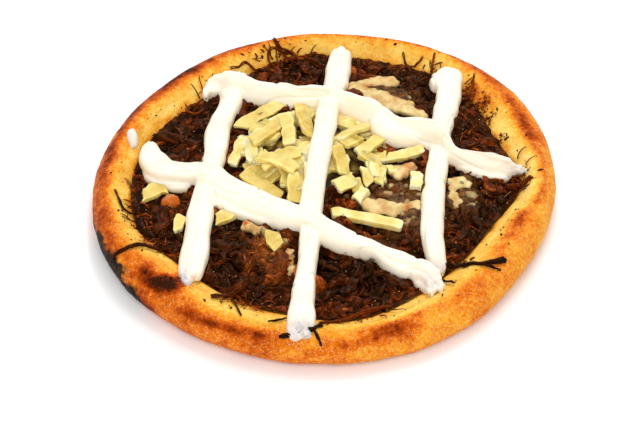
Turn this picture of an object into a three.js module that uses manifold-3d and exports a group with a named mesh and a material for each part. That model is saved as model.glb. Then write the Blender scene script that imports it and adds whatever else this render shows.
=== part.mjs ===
// An open sfiha: a hand-shaped round bread with a rolled rim, filled with shredded beef and topped
// with melted cheese, a heap of freshly grated cheese and a lattice of piped cream cheese.
// Millimetres, +Z up. The origin is the middle of the flat underside. -Y is the front edge.

import * as THREE from "three";
import { mergeVertices } from "three/addons/utils/BufferGeometryUtils.js";
import Module from "manifold-3d";

const wasm = await Module();
wasm.setup();

// ---- Driving dimensions ----

const GAP = 0.3; // air between neighbouring pieces

const BREAD_RADIUS = 64.3; // mean radius of the outer edge
const OUTLINE_WAVES = [-0.1, 2.2, 1.9, -0.8, -1.4, -1.5, 0.1, 1.3, 0.4, 0.4, -0.2, -2.1]; // every 30 degrees
const FILLING_RADIUS = 52.2; // mean radius where the filling meets the rim
const FILLING_WAVES = [
  2.4, -0.2, 2.4, 3.7, 2.7, 2.6, -1.4, -1.8, 0.7, 1.8, 1.9, -1.4, -1.2, -0.4, 1.1, -2.2, -4.1, -3.3,
]; // every 20 degrees
const RIM_HEIGHT = 11.4; // mean height of the crest
const RIM_WAVES = [0, 0.4, 0.2, 0.6, 0.8, 0.4, 0.2, -0.2, -0.4, -0.8, -0.6, -0.2]; // every 30 degrees
const FLOOR_THICKNESS = 4; // bread under the filling

const FILLING_EDGE_HEIGHT = 7.8; // top of the beef where it meets the rim
const FILLING_DOME = 2.6; // how much higher the beef is in the middle
const FILLING_LUMP = 0.45; // depth of the uneven lumps in its top
const BROAD_LUMP = { x: 0.31, y: 0.27, startX: 0.9, startY: -0.4 }; // radians per mm, and radians
const SMALL_LUMP = { x: 0.63, y: -0.52, start: 2.1, depth: 0.6 }; // depth as a share of the broad lumps'
const BEEF_STRANDS = 23; // strands fused to the top of the beef
const STRAND_WIDTH = [0.9, 1.35]; // smallest and largest half width
const STRAND_LENGTH = [9, 18];
const STRAND_BOW = 1.5; // how far a strand's middle may lie beside its ends
const STRAND_FLATNESS = 0.7; // a strand's thickness as a share of its width

const HEAP = { x: -4.6, y: 7, rx: 22.6, ry: 22, height: 7 }; // grated cheese, height above the beef
const HEAP_ROUNDNESS = 0.8; // 1 is a parabola, and less is flatter on top
const HEAP_COVER = 1.6; // depth of the loose layer of shreds on the heap's core
const HEAP_EDGE = 1.2; // height of the heap's blunt edge above the beef
const SHRED_HALF_WIDTH = 1.75;
const SHRED_THICKNESS = 2.3;
const SHRED_HALF_LENGTH = [4, 8]; // of the scattered shreds
const SCATTERED_SHREDS = 11;
const MELTED_HEIGHT = 1.5; // above the beef
const MELTED_DEPTH = 0.8; // below the beef's top

const CREAM_HEIGHT = 4.4; // thickness of a piped line
const CREAM_SINK = 1; // how far a line settles into what it lies on
const CREAM_CROSSING_RISE = 2.4; // how far a band climbs where it crosses a rib
const CREAM_CROSSING_REACH = 4.5; // distance from the crossing at which most of that climb is over
const CREAM_MIDDLE = 0.35; // height of a line's widest place as a share of its thickness
const CREAM_TIP = 3.5; // length of a line's rounded end

// ---- Facets ----

const BREAD_SEGMENTS = 56;
const BEEF_SEGMENTS = 30;
const HEAP_SEGMENTS = 24;
const LINE_STEP = 5; // distance between a line's sections

// ---- Small tools ----

const GOLDEN_ANGLE = Math.PI * (3 - Math.sqrt(5)); // turn between neighbours in an even spread

// A repeatable stream of numbers from 0 to 1.
function randomStream(seed) {
  let state = seed;
  return () => {
    state = (state + 0x6d2b79f5) | 0;
    let t = Math.imul(state ^ (state >>> 15), 1 | state);
    t = (t + Math.imul(t ^ (t >>> 7), 61 | t)) ^ t;
    return ((t ^ (t >>> 14)) >>> 0) / 4294967296;
  };
}

// The value at a share of the way from the first of two numbers to the second.
const between = ([low, high], share) => low + (high - low) * share;

// The value at an angle of a closed smooth curve through equally spaced values.
function around(values, angle) {
  const count = values.length;
  const place = ((((angle / (2 * Math.PI)) * count) % count) + count) % count;
  const i = Math.floor(place);
  const f = place - i;
  const [a, b, c, d] = [i - 1, i, i + 1, i + 2].map((k) => values[(k + count) % count]);
  return b + 0.5 * f * (c - a + f * (2 * a - 5 * b + 4 * c - d + f * (3 * (b - c) + d - a)));
}

// The solid inside a closed geometry.
function solidOf(geometry) {
  const bare = new THREE.BufferGeometry();
  bare.setAttribute("position", geometry.getAttribute("position"));
  bare.setIndex(geometry.index);
  const merged = mergeVertices(bare, 1e-3);
  const corners = [];
  for (let i = 0; i < merged.index.count; i += 3) {
    const [a, b, c] = [0, 1, 2].map((k) => merged.index.getX(i + k));
    if (a !== b && b !== c && a !== c) corners.push(a, b, c);
  }
  const make = (triVerts) =>
    new wasm.Manifold(
      new wasm.Mesh({
        numProp: 3,
        vertProperties: new Float32Array(merged.attributes.position.array),
        triVerts: new Uint32Array(triVerts),
      }),
    );
  const solid = make(corners);
  return solid.volume() > 0 ? solid : make(corners.reverse());
}

// The solids as one. It forgets which solid each of its faces came from, which would fill the memory.
function joined(solids) {
  return solids.reduce((sum, solid) => sum.add(solid)).asOriginal();
}

// The solid made larger by the gap along each axis in turn, which also covers its edges and corners.
function grown(solid) {
  const shifts = [
    [GAP, 0, 0],
    [0, GAP, 0],
    [0, 0, GAP],
  ];
  return shifts.reduce(
    (whole, [x, y, z]) => joined([whole, whole.translate([x, y, z]), whole.translate([-x, -y, -z])]),
    solid,
  );
}

// The solid moved up by the gap, to cut what lies on top of it.
function lifted(solid) {
  return solid.translate([0, 0, GAP]);
}

// The largest of a solid's separate bodies.
function largest(solid) {
  const bodies = solid.asOriginal().decompose();
  return bodies.reduce((best, body) => (body.volume() > best.volume() ? body : best));
}

function touches(a, b) {
  return a.intersect(b).volume() > 1e-6;
}

// A lathe whose section changes round the axis: place(ring, angle) gives [radius, height].
function variedLathe(rings, segments, place) {
  const profile = Array.from({ length: rings }, (_, ring) => new THREE.Vector2(1, ring));
  const geometry = new THREE.LatheGeometry(profile, segments);
  const position = geometry.getAttribute("position");
  for (let i = 0; i < position.count; i++) {
    const angle = (2 * Math.PI * (Math.floor(i / rings) % segments)) / segments;
    const [radius, height] = place(i % rings, angle);
    position.setXYZ(i, radius * Math.cos(angle), radius * Math.sin(angle), height);
  }
  return geometry;
}

// A bar along a path. centre(t) gives its middle, and size(t) its half width and its half heights
// above and below the middle. square makes its section four-cornered.
function bar({ centre, size, steps, sides, square = false }) {
  const corner = square ? Math.SQRT2 : 1;
  const turn = square ? Math.PI / 4 : 0;
  const geometry = new THREE.CylinderGeometry(1, 1, 1, sides, steps, false, turn);
  const position = geometry.getAttribute("position");
  const ahead = new THREE.Vector3();
  for (let i = 0; i < position.count; i++) {
    const t = 0.5 - position.getY(i);
    const middle = centre(t);
    ahead.copy(centre(Math.min(1, t + 0.01))).sub(centre(Math.max(0, t - 0.01)));
    const flat = Math.hypot(ahead.x, ahead.y) || 1;
    const { width, above, below } = size(t);
    const across = position.getX(i) * corner * width;
    const up = position.getZ(i) * corner;
    position.setXYZ(
      i,
      middle.x - (ahead.y / flat) * across,
      middle.y + (ahead.x / flat) * across,
      middle.z + up * (up > 0 ? above : below),
    );
  }
  return geometry;
}

// 1 along a bar, falling like a quarter circle over its rounded ends to a small blunt tip.
function roundedEnds(t, share, tip = 0.35) {
  const inwards = Math.min(1, Math.min(t, 1 - t) / share);
  return tip + (1 - tip) * Math.sqrt(1 - (1 - inwards) ** 2);
}

// ---- Bread ----

const outerRadius = (angle) => BREAD_RADIUS + around(OUTLINE_WAVES, angle);
const fillingRadius = (angle) => FILLING_RADIUS + around(FILLING_WAVES, angle);
const rimHeight = (angle) => RIM_HEIGHT + around(RIM_WAVES, angle);

// The outer wall: distance in from the outer edge, and share of the rim's height.
const OUTER_WALL = [
  [4.5, 0],
  [2.6, 0.045],
  [1.2, 0.15],
  [0.3, 0.3],
  [0, 0.46],
  [0.4, 0.64],
  [1.4, 0.8],
  [2.9, 0.92],
];
// The inner slope: share of the rim's width out from the filling, and share of the rim's height.
const INNER_SLOPE = [
  [0.58, 1],
  [0.42, 0.985],
  [0.28, 0.92],
  [0.15, 0.8],
];
// The recess under the filling: distance in from the filling's edge, and height.
const RECESS = [
  [0, FILLING_EDGE_HEIGHT],
  [1.6, 6],
  [3.6, 4.8],
  [6, FLOOR_THICKNESS + 0.2],
];

// The bread's section at an angle, from the middle of the underside to the middle of the recess.
function breadSection(angle) {
  const outer = outerRadius(angle);
  const filling = fillingRadius(angle);
  const height = rimHeight(angle);
  return [
    [0, 0],
    ...OUTER_WALL.map(([inwards, share]) => [outer - inwards, share * height]),
    ...INNER_SLOPE.map(([share, rise]) => [filling + share * (outer - filling), rise * height]),
    ...RECESS.map(([inwards, z]) => [filling - inwards, z]),
    [0, FLOOR_THICKNESS],
  ];
}

function breadSolid() {
  const rings = breadSection(0).length;
  return solidOf(variedLathe(rings, BREAD_SEGMENTS, (ring, angle) => breadSection(angle)[ring]));
}

// Height of the rim's upper surface at a point outside the filling.
function rimTop(x, y) {
  const radius = Math.hypot(x, y);
  const section = breadSection(Math.atan2(y, x));
  const upper = section.slice(OUTER_WALL.length - 3, section.length);
  for (let i = 1; i < upper.length; i++) {
    const [r0, z0] = upper[i - 1];
    const [r1, z1] = upper[i];
    if (radius <= r0 && radius >= r1) return z0 + ((z1 - z0) * (r0 - radius)) / (r0 - r1);
  }
  return 0;
}

// ---- Beef ----

function lumps(x, y) {
  const broad =
    Math.sin(BROAD_LUMP.x * x + BROAD_LUMP.startX) * Math.cos(BROAD_LUMP.y * y + BROAD_LUMP.startY);
  const small = Math.sin(SMALL_LUMP.x * x + SMALL_LUMP.y * y + SMALL_LUMP.start);
  return FILLING_LUMP * (broad + SMALL_LUMP.depth * small);
}

function beefTop(x, y) {
  const share = Math.min(1, Math.hypot(x, y) / fillingRadius(Math.atan2(y, x)));
  return FILLING_EDGE_HEIGHT + (FILLING_DOME + lumps(x, y)) * (1 - share ** 2);
}

function beefCore() {
  const clear = GAP + 0.1;
  const under = RECESS.map(([inwards, z], i) => [inwards + clear, z + (i ? GAP : 0)]).reverse();
  const shares = [0.93, 0.82, 0.68, 0.52, 0.34, 0]; // of the filling's radius, where its top is faceted
  const rings = 1 + under.length + shares.length;
  return solidOf(
    variedLathe(rings, BEEF_SEGMENTS, (ring, angle) => {
      const edge = fillingRadius(angle);
      if (ring === 0) return [0, FLOOR_THICKNESS + GAP];
      if (ring <= under.length) return [edge - under[ring - 1][0], under[ring - 1][1]];
      const radius = edge * shares[ring - 1 - under.length];
      return [radius, beefTop(radius * Math.cos(angle), radius * Math.sin(angle))];
    }),
  );
}

// A ring that closes the crack between the bread and the beef while toppings are cut to fit them, so
// that no sliver of a topping is left in it.
function crackFiller() {
  const [inwards, outwards, depth] = [2.4, 0.4, 2.2];
  const section = [
    [-inwards, FILLING_EDGE_HEIGHT - depth],
    [outwards, FILLING_EDGE_HEIGHT - depth],
    [outwards, FILLING_EDGE_HEIGHT],
    [-inwards, FILLING_EDGE_HEIGHT],
    [-inwards, FILLING_EDGE_HEIGHT - depth],
  ];
  return solidOf(
    variedLathe(section.length, BREAD_SEGMENTS, (ring, angle) => {
      const [beyond, z] = section[ring];
      return [fillingRadius(angle) + beyond, z];
    }),
  );
}

// Height of the heap's top over the beef, and of the beef beyond it.
function heapTop(x, y) {
  const reach = Math.hypot((x - HEAP.x) / HEAP.rx, (y - HEAP.y) / HEAP.ry);
  return beefTop(x, y) + (reach < 1 ? HEAP.height * (1 - reach ** 2) ** HEAP_ROUNDNESS : 0);
}

// Height of what lies under a topping: the heap, the beef or the rim.
function supportTop(x, y) {
  const inside = Math.hypot(x, y) < fillingRadius(Math.atan2(y, x));
  return inside ? heapTop(x, y) : rimTop(x, y);
}

// A strand of beef from one point to another, bowed sideways, with its ends sunk in the core.
function beefStrand({ x, y, heading, length, bow, width }) {
  const along = new THREE.Vector2(Math.cos(heading), Math.sin(heading));
  const centre = (t) => {
    const s = (t - 0.5) * length;
    const side = bow * (1 - 4 * (t - 0.5) ** 2);
    const px = x + along.x * s - along.y * side;
    const py = y + along.y * s + along.x * side;
    const lift = width * (0.55 - 1.76 * (t - 0.5) ** 2);
    return new THREE.Vector3(px, py, beefTop(px, py) + lift);
  };
  const size = (t) => {
    const half = width * roundedEnds(t, 0.3, 0.4);
    return { width: half, above: STRAND_FLATNESS * half, below: STRAND_FLATNESS * half };
  };
  return solidOf(bar({ centre, size, steps: 3, sides: 4 }));
}

// The way the strands lie at a place: it drifts over the filling.
function beefHeading(x, y) {
  const [turn, acrossX, acrossY] = [1.4, 13, 11];
  return turn * (Math.sin(x / acrossX + 1) + Math.cos(y / acrossY - 0.5));
}

// Strands fused to the beef's core. Of places spread evenly over it, those between the toppings get one.
function beefStrands(blocked) {
  const [places, stride, margin] = [260, 97, 3];
  const random = randomStream(5);
  const strands = [];
  for (let i = 0; i < places && strands.length < BEEF_STRANDS; i++) {
    const place = (i * stride) % places;
    const angle = place * GOLDEN_ANGLE;
    const radius = (fillingRadius(angle) - margin) * Math.sqrt((place + 0.5) / places);
    const [x, y] = [radius * Math.cos(angle), radius * Math.sin(angle)];
    const strand = {
      x,
      y,
      heading: beefHeading(x, y) + between([-0.8, 0.8], random()),
      length: between(STRAND_LENGTH, random()),
      bow: between([-STRAND_BOW, STRAND_BOW], random()),
      width: between(STRAND_WIDTH, random()),
    };
    const solid = fitted((share) => beefStrand({ ...strand, length: strand.length * share }), blocked);
    if (solid) strands.push(solid);
  }
  return strands;
}

// Strands that stray over the rim: points from the beef outwards, and half thickness.
const STRAY_STRANDS = [
  { route: [[-41, -28], [-45, -26.7], [-49, -27.5], [-53, -29.6], [-57, -30.6]], half: 0.75 },
  { route: [[-52, -13], [-55, -12.5], [-56.3, -9.6], [-57.6, -6.5]], half: 0.5 },
  { route: [[36, -33.6], [38.6, -34.4], [41.6, -35.6], [44.6, -34.8], [47.8, -33.4]], half: 0.8 },
  { route: [[10, -50], [4, -55.5], [-2, -58.6], [-8, -60.6], [-12, -61]], half: 0.95 },
  { route: [[-25.9, -38.8], [-24.4, -45.4], [-23.4, -50], [-21.9, -54.5]], half: 0.5 },
  { route: [[-22, -43], [-26, -45], [-29.8, -47.6]], half: 0.9 },
  { route: [[-9, 51], [-9, 54.3], [-12.9, 54.3], [-14.9, 56.8]], half: 0.7 },
  { route: [[24.8, 48], [23.4, 53], [22.2, 56.6]], half: 0.55 },
  { route: [[30.8, 45.6], [31.2, 49.4], [32.6, 54.6]], half: 1.1 },
  { route: [[42.4, 32.8], [42.6, 38.5], [42.6, 44.1]], half: 0.8 },
  { route: [[44, 28.5], [47.4, 33.6], [46.4, 38.6]], half: 1.0 },
  { route: [[50, -3.5], [54, -2], [56.6, 0]], half: 1.1 },
];

const STRAY_ROOT = 0.955; // distance of a stray strand's root from the middle, as a share of its start's
const STRAY_TAPER = { from: 0.3, by: 0.45 }; // where a stray strand starts to thin, and by how much

function strayStrand({ route, half }, raise) {
  const root = route[0].map((value) => STRAY_ROOT * value);
  const curve = new THREE.CatmullRomCurve3([root, ...route].map(([x, y]) => new THREE.Vector3(x, y, 0)));
  const centre = (t) => {
    const p = curve.getPoint(t);
    const beefEdge = fillingRadius(Math.atan2(p.y, p.x));
    const climb = 2; // distance before the edge over which it comes up out of the beef
    const past = Math.min(1, Math.max(0, (Math.hypot(p.x, p.y) - beefEdge + climb) / climb));
    const onRim = supportTop(p.x, p.y) + half + GAP + raise;
    return p.setZ(beefTop(p.x, p.y) * (1 - past) + onRim * past);
  };
  const size = (t) => {
    const taper = 1 - STRAY_TAPER.by * Math.max(0, (t - STRAY_TAPER.from) / (1 - STRAY_TAPER.from));
    return { width: half * taper, above: half * taper, below: half * taper };
  };
  return solidOf(bar({ centre, size, steps: 6, sides: 4 }));
}

// Each stray strand, raised until it is clear of the rim and the cream.
function strayStrands(blocked) {
  return STRAY_STRANDS.map((strand) => {
    for (const raise of [0, 0.3, 0.6, 1]) {
      const solid = strayStrand(strand, raise);
      if (!touches(solid, blocked)) return solid;
    }
    return null;
  }).filter(Boolean);
}

// ---- Cheese ----

function heapCore(beef) {
  const shares = [0, 1, 1, 0.86, 0.7, 0.48, 0.24, 0];
  const under = 1; // the first rings that lie below the beef's top
  const sunk = 1; // how far those rings lie in the beef
  const dome = variedLathe(shares.length, HEAP_SEGMENTS, (ring, angle) => {
    const x = HEAP.x + HEAP.rx * shares[ring] * Math.cos(angle);
    const y = HEAP.y + HEAP.ry * shares[ring] * Math.sin(angle);
    if (ring <= under) return [shares[ring], beefTop(x, y) - sunk];
    return [shares[ring], Math.max(heapTop(x, y) - HEAP_COVER, beefTop(x, y) + HEAP_EDGE)];
  });
  const position = dome.getAttribute("position");
  for (let i = 0; i < position.count; i++) {
    const x = HEAP.x + HEAP.rx * position.getX(i);
    const y = HEAP.y + HEAP.ry * position.getY(i);
    position.setXYZ(i, x, y, position.getZ(i));
  }
  return largest(solidOf(dome).subtract(beef));
}

// A grated shred between two points on top of what lies under it.
function cheeseShred({ from, to, half, thick, sink = 0.4, bow = 0, steps = 3 }) {
  const [dx, dy] = [to[0] - from[0], to[1] - from[1]];
  const length = Math.hypot(dx, dy);
  const centre = (t) => {
    const side = (bow * (1 - 4 * (t - 0.5) ** 2)) / length;
    const x = from[0] + dx * t - dy * side;
    const y = from[1] + dy * t + dx * side;
    return new THREE.Vector3(x, y, supportTop(x, y) + thick / 2 - sink);
  };
  const size = (t) => {
    const [end, endWidth] = [0.15, 0.8];
    const taper = t > end && t < 1 - end ? 1 : endWidth;
    return { width: half * taper, above: (thick / 2) * taper, below: (thick / 2) * taper };
  };
  return solidOf(bar({ centre, size, steps, sides: 4, square: true }));
}

// The heap's largest shreds: [from x, from y, to x, to y].
const HEAP_SHREDS = [
  [-24, 20, -12, 30.5],
  [-25.7, 3.8, -22.7, 13.9],
  [-20.7, 9, -12.8, 19],
  [-11.8, 22, -9.8, 8],
  [-6.9, 28.5, -4.4, 14],
  [-16.7, -2.3, -6.9, 2.6],
  [-22.7, -1.4, -12, -10.7],
  [-8.8, -3, -8.4, -13],
  [-18.7, 3.4, -8, -2.4],
  [4.6, 9, 14.8, 19.5],
  [8.8, 4.8, 15.8, 14],
  [4.6, 5.5, 6, -5],
  [11.8, 3.7, 13.9, -3],
  [15.2, 3, 15.4, -4],
  [4, -11, 8, -4.3],
];

// Shreds fused to the heap's core: the largest ones, then others spread evenly between the toppings.
function heapShreds(blocked) {
  const [places, stride, reachOut, sink] = [70, 27, 0.95, 0.9];
  const random = randomStream(11);
  const plain = { half: SHRED_HALF_WIDTH, thick: SHRED_THICKNESS };
  const place = (shred) => fitted((share) => cheeseShred(shortened(shred, share)), blocked);
  const largestOnes = HEAP_SHREDS.map(([x0, y0, x1, y1]) =>
    place({ ...plain, from: [x0, y0], to: [x1, y1], bow: random() - 0.5 }),
  );
  const scattered = [];
  for (let i = 0; i < places && scattered.length < SCATTERED_SHREDS; i++) {
    const spot = (i * stride) % places;
    const reach = Math.sqrt((spot + 0.5) / places) * reachOut;
    const x = HEAP.x + HEAP.rx * reach * Math.cos(spot * GOLDEN_ANGLE);
    const y = HEAP.y + HEAP.ry * reach * Math.sin(spot * GOLDEN_ANGLE);
    const heading = Math.PI * random();
    const half = between(SHRED_HALF_LENGTH, random());
    const [ux, uy] = [Math.cos(heading) * half, Math.sin(heading) * half];
    const ends = { from: [x - ux, y - uy], to: [x + ux, y + uy] };
    const solid = place({ ...plain, ...ends, sink, bow: random() - 0.5 });
    if (solid) scattered.push(solid);
  }
  return [...largestOnes, ...scattered].filter(Boolean);
}

// The same shred, cut to a share of its length about its middle.
function shortened(shred, share) {
  const middle = [0, 1].map((k) => (shred.from[k] + shred.to[k]) / 2);
  const [from, to] = [shred.from, shred.to].map((end) =>
    end.map((value, k) => middle[k] + (value - middle[k]) * share),
  );
  return { ...shred, from, to };
}

// The longest version of a piece that is clear of what is already there, if there is one.
function fitted(make, blocked) {
  for (const share of [1, 0.8, 0.6, 0.45]) {
    const piece = make(share);
    if (!touches(piece, blocked)) return piece;
  }
  return null;
}

// Loose pieces of grated cheese on the beef.
const LOOSE_CHEESE = {
  cheese_shred_right: { from: [19.6, 7.4], to: [27, 10.6], half: 1.8, thick: 2.4 },
  cheese_long_shred: { from: [1.6, -14.2], to: [20.8, -19.6], half: 1.9, thick: 2.6, bow: 0.9 },
  cheese_bit_left: { from: [-50.2, -6.6], to: [-43.6, -3.2], half: 2.4, thick: 2.8 },
  cheese_bit_by_left_rib: { from: [-29.8, -17.6], to: [-24.8, -14.6], half: 2.1, thick: 2.2 },
  cheese_bit_outside_left_rib: { from: [-39.6, -20.8], to: [-39.2, -15.4], half: 1.3, thick: 2.2 },
  cheese_bit_middle: { from: [8.6, -11.6], to: [11.2, -8], half: 1.5, thick: 2.6 },
  cheese_bit_right: { from: [24.6, -6.6], to: [25.2, -0.4], half: 1.6, thick: 2.8 },
  cheese_bit_front: { from: [-13.4, -23.6], to: [-12.6, -28], half: 2, thick: 2.2 },
};

// Patches of melted cheese, each made of one to three lobes: [from, to, half width].
const MELTED_CHEESE = {
  melted_cheese_back: [
    [[7.6, 39], [19.4, 42], 2.6],
    [[8, 37.6], [23.6, 30.2], 2.7],
    [[16, 30.4], [27.6, 26.2], 2.5],
  ],
  melted_cheese_middle: [
    [[11.6, -11.4], [19.6, -13.6], 2.7],
    [[18.4, -13.4], [25.4, -10.8], 2],
  ],
  melted_cheese_by_right_rib: [[[19, 0.2], [24.4, 3.6], 2.1]],
  melted_cheese_right: [
    [[34.6, -1.2], [39.6, -3.2], 2],
    [[34.6, -2.4], [36.4, -11.4], 1.7],
  ],
  melted_cheese_left: [[[-43.8, -9.4], [-41.2, -9.8], 2.5]],
  melted_cheese_front: [[[-21.6, -19.6], [-17.6, -22.4], 1.9]],
  melted_cheese_by_middle_rib: [[[-9.6, -28.4], [-9.4, -37.6], 1.2]],
};

function meltedPatch(lobes, blocked) {
  const lobe = ([[x0, y0], [x1, y1], half]) => {
    const reach = Math.hypot(x1 - x0, y1 - y0) + 2 * half;
    const centre = (t) => {
      const s = -half / reach + t * (1 + (2 * half) / reach);
      const [x, y] = [x0 + (x1 - x0) * s, y0 + (y1 - y0) * s];
      return new THREE.Vector3(x, y, beefTop(x, y));
    };
    const size = (t) => {
      const taper = roundedEnds(t, half / reach);
      const [unevenness, turn] = [0.12, 9];
      const pulse = 1 + unevenness * Math.sin(turn * t);
      return { width: half * taper * pulse, above: MELTED_HEIGHT * taper, below: MELTED_DEPTH };
    };
    return solidOf(bar({ centre, size, steps: 4, sides: 6 }));
  };
  return largest(joined(lobes.map(lobe)).subtract(blocked));
}

// ---- Cream cheese lines ----

// Each line's middle and half width: [x, y, half width].
const RIBS = {
  cream_rib_left: [
    [-28.8, 38.6, 2.4], [-27.6, 36.6, 2.8], [-26.8, 33.6, 3], [-27.4, 28, 3.2], [-29.2, 21.9, 3.4],
    [-30.4, 13.8, 3.4], [-30.8, 6.8, 3.2], [-32, -3, 3.1], [-33.4, -10.5, 3.2], [-34.3, -21.6, 3.5],
    [-35, -30, 3.9], [-35.7, -39.5, 3.3],
  ],
  cream_rib_middle: [
    [4.9, 54.3, 3], [4.6, 50, 3.3], [3.9, 44.6, 3.5], [2.6, 35, 3.3], [1.1, 25, 3.1],
    [-0.2, 9.2, 3.1], [-2.2, -4.6, 3.1], [-3.7, -15, 3], [-4, -26, 2.8], [-5.1, -38, 2.7],
    [-5.9, -47.4, 3], [-6.2, -53.5, 3.5], [-6.4, -58.2, 4], [-6.2, -61, 3.6],
  ],
  cream_rib_right: [
    [35.7, 44.6, 3.8], [35.8, 41, 4.1], [35.6, 35.5, 3.6], [34.2, 26, 3.6], [32.6, 17.5, 3.1],
    [31.6, 6, 3], [30.2, -4, 3], [29.2, -14.3, 3.1], [28.8, -24, 3.2], [29.5, -32, 2.9],
    [31, -37, 2.2],
  ],
};
const BANDS = {
  cream_band_back: [
    [-32.9, 35, 1.5], [-32.5, 37.4, 2.1], [-30.4, 38.9, 2.5], [-26.6, 37.2, 2.9], [-20, 33.9, 3],
    [-12, 32, 3.2], [-4, 30.6, 3], [1, 28.8, 3.2], [5.4, 27, 3.9], [10.4, 24.9, 4.4],
    [14.2, 21.4, 3.8], [17.5, 17.6, 4], [21.7, 15.4, 4], [26.7, 15, 3.7], [30.8, 12, 3],
    [34.6, 7.6, 2], [38.4, 5, 2.2], [43, 3.2, 2.6], [48, 2.4, 2.7], [52.4, 2.4, 2], [56, 2.1, 1.1],
  ],
  cream_band_front: [
    [-48.6, 14.2, 1.7], [-48.9, 10.5, 2.7], [-48.1, 6.6, 3.7], [-44.6, 2, 4.3], [-39.6, 0.7, 4.4],
    [-35, -0.2, 4], [-30.4, -4.2, 3.9], [-25, -8.4, 4.2], [-18.6, -13.4, 4.6], [-11.4, -17.4, 4.1],
    [-5, -20.4, 3.2], [0, -24.1, 2.9], [5.3, -27.4, 3], [10, -29.7, 2.5], [14.2, -31.6, 2],
    [17.4, -33.9, 2.7], [20.6, -36, 3.3], [24, -38.2, 3.3], [27, -41.2, 2.7], [28.4, -44.8, 1.5],
  ],
};

// A piped line along its route. crossed lists the places where it climbs over another line.
function creamLine(route, crossed = []) {
  const curve = new THREE.CatmullRomCurve3(route.map(([x, y, half]) => new THREE.Vector3(x, y, half)));
  const steps = Math.round(curve.getLength() / LINE_STEP);
  const points = curve.getSpacedPoints(steps);
  const rise = (p) => {
    const near = Math.min(...crossed.map((q) => Math.hypot(p.x - q.x, p.y - q.y)), Infinity);
    return CREAM_CROSSING_RISE * Math.exp(-((near / CREAM_CROSSING_REACH) ** 2));
  };
  let base = points.map((p) => supportTop(p.x, p.y));
  for (let pass = 0; pass < 2; pass++) {
    base = base.map((z, i) => (z * 2 + (base[i - 1] ?? z) + (base[i + 1] ?? z)) / 4);
  }
  const reach = steps * LINE_STEP;
  const at = (t) => {
    const i = Math.min(steps - 1, Math.floor(t * steps));
    const f = t * steps - i;
    const mix = (a, b) => a + (b - a) * f;
    return {
      x: mix(points[i].x, points[i + 1].x),
      y: mix(points[i].y, points[i + 1].y),
      half: mix(points[i].z, points[i + 1].z),
      base: mix(base[i] + rise(points[i]), base[i + 1] + rise(points[i + 1])),
    };
  };
  const centre = (t) => {
    const p = at(t);
    return new THREE.Vector3(p.x, p.y, p.base + CREAM_HEIGHT * CREAM_MIDDLE);
  };
  const size = (t) => {
    const taper = roundedEnds(t, CREAM_TIP / reach, 0.55);
    return {
      width: at(t).half * taper,
      above: CREAM_HEIGHT * (1 - CREAM_MIDDLE) * taper,
      below: CREAM_HEIGHT * CREAM_MIDDLE + CREAM_SINK,
    };
  };
  return solidOf(bar({ centre, size, steps, sides: 8 }));
}

// Where two routes come closest to each other.
function crossing(a, b) {
  const places = 120;
  const [p, q] = [a, b].map((route) =>
    new THREE.CatmullRomCurve3(route.map(([x, y]) => new THREE.Vector3(x, y, 0))).getSpacedPoints(places),
  );
  let best = { gap: Infinity };
  for (const s of p) {
    for (const t of q) {
      const gap = s.distanceTo(t);
      if (gap < best.gap) best = { gap, x: s.x, y: s.y };
    }
  }
  return best;
}

// The drop of cream that fell on the rim: its middle, half width, half length, how far it leans
// over that length, and how far it stands above and below its middle.
const DROP = { x: -54, y: 15, half: 1.5, reach: 2.8, lean: 0.8, above: 1.7, below: 1 };

function creamDrop(rim) {
  const centre = (t) => {
    const x = DROP.x + DROP.lean * (t - 0.5);
    const y = DROP.y - 2 * DROP.reach * (t - 0.5);
    return new THREE.Vector3(x, y, rimTop(x, y));
  };
  const size = (t) => {
    const taper = roundedEnds(t, 0.45, 0.3);
    return { width: DROP.half * taper, above: DROP.above * taper, below: DROP.below };
  };
  return largest(solidOf(bar({ centre, size, steps: 6, sides: 8 })).subtract(rim));
}

// ---- The whole, built from the bottom up, each piece clear of those before it ----

const bread = breadSolid();
const core = beefCore();
const heap = heapCore(lifted(core));
const drop = creamDrop(lifted(bread));
const ground = joined([lifted(joined([bread, core, crackFiller()])), grown(heap)]);

const bandSolids = {};
for (const [name, route] of Object.entries(BANDS)) {
  const crossings = Object.values(RIBS).map((rib) => crossing(route, rib));
  bandSolids[name] = largest(creamLine(route, crossings).subtract(ground));
}
const aroundBands = joined(Object.values(bandSolids).map((solid) => grown(solid)));
const ribSolids = {};
for (const [name, route] of Object.entries(RIBS)) {
  ribSolids[name] = largest(creamLine(route).subtract(ground).subtract(aroundBands));
}
const aroundRibs = joined(Object.values(ribSolids).map((solid) => grown(solid)));
const aroundCream = joined([aroundBands, aroundRibs, grown(drop)]);

const looseSolids = {};
const clearOfCream = joined([aroundCream, ground]);
for (const [name, shred] of Object.entries(LOOSE_CHEESE)) {
  looseSolids[name] = largest(cheeseShred({ steps: 2, ...shred }).subtract(clearOfCream));
}
const aroundLoose = joined([aroundCream, ...Object.values(looseSolids).map((solid) => grown(solid))]);

const meltedSolids = {};
const clearOfLoose = joined([aroundLoose, ground]);
for (const [name, lobes] of Object.entries(MELTED_CHEESE)) {
  meltedSolids[name] = meltedPatch(lobes, clearOfLoose);
}
const aroundToppings = joined([aroundLoose, ...Object.values(meltedSolids).map((solid) => grown(solid))]);

const heapSolid = largest(joined([heap, ...heapShreds(joined([aroundToppings, lifted(core)]))]));
const aroundBeef = joined([aroundToppings, grown(heapSolid), grown(bread)]);
const beefSolid = largest(joined([core, ...beefStrands(aroundBeef), ...strayStrands(aroundBeef)]));

// ---- Scene ----

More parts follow.
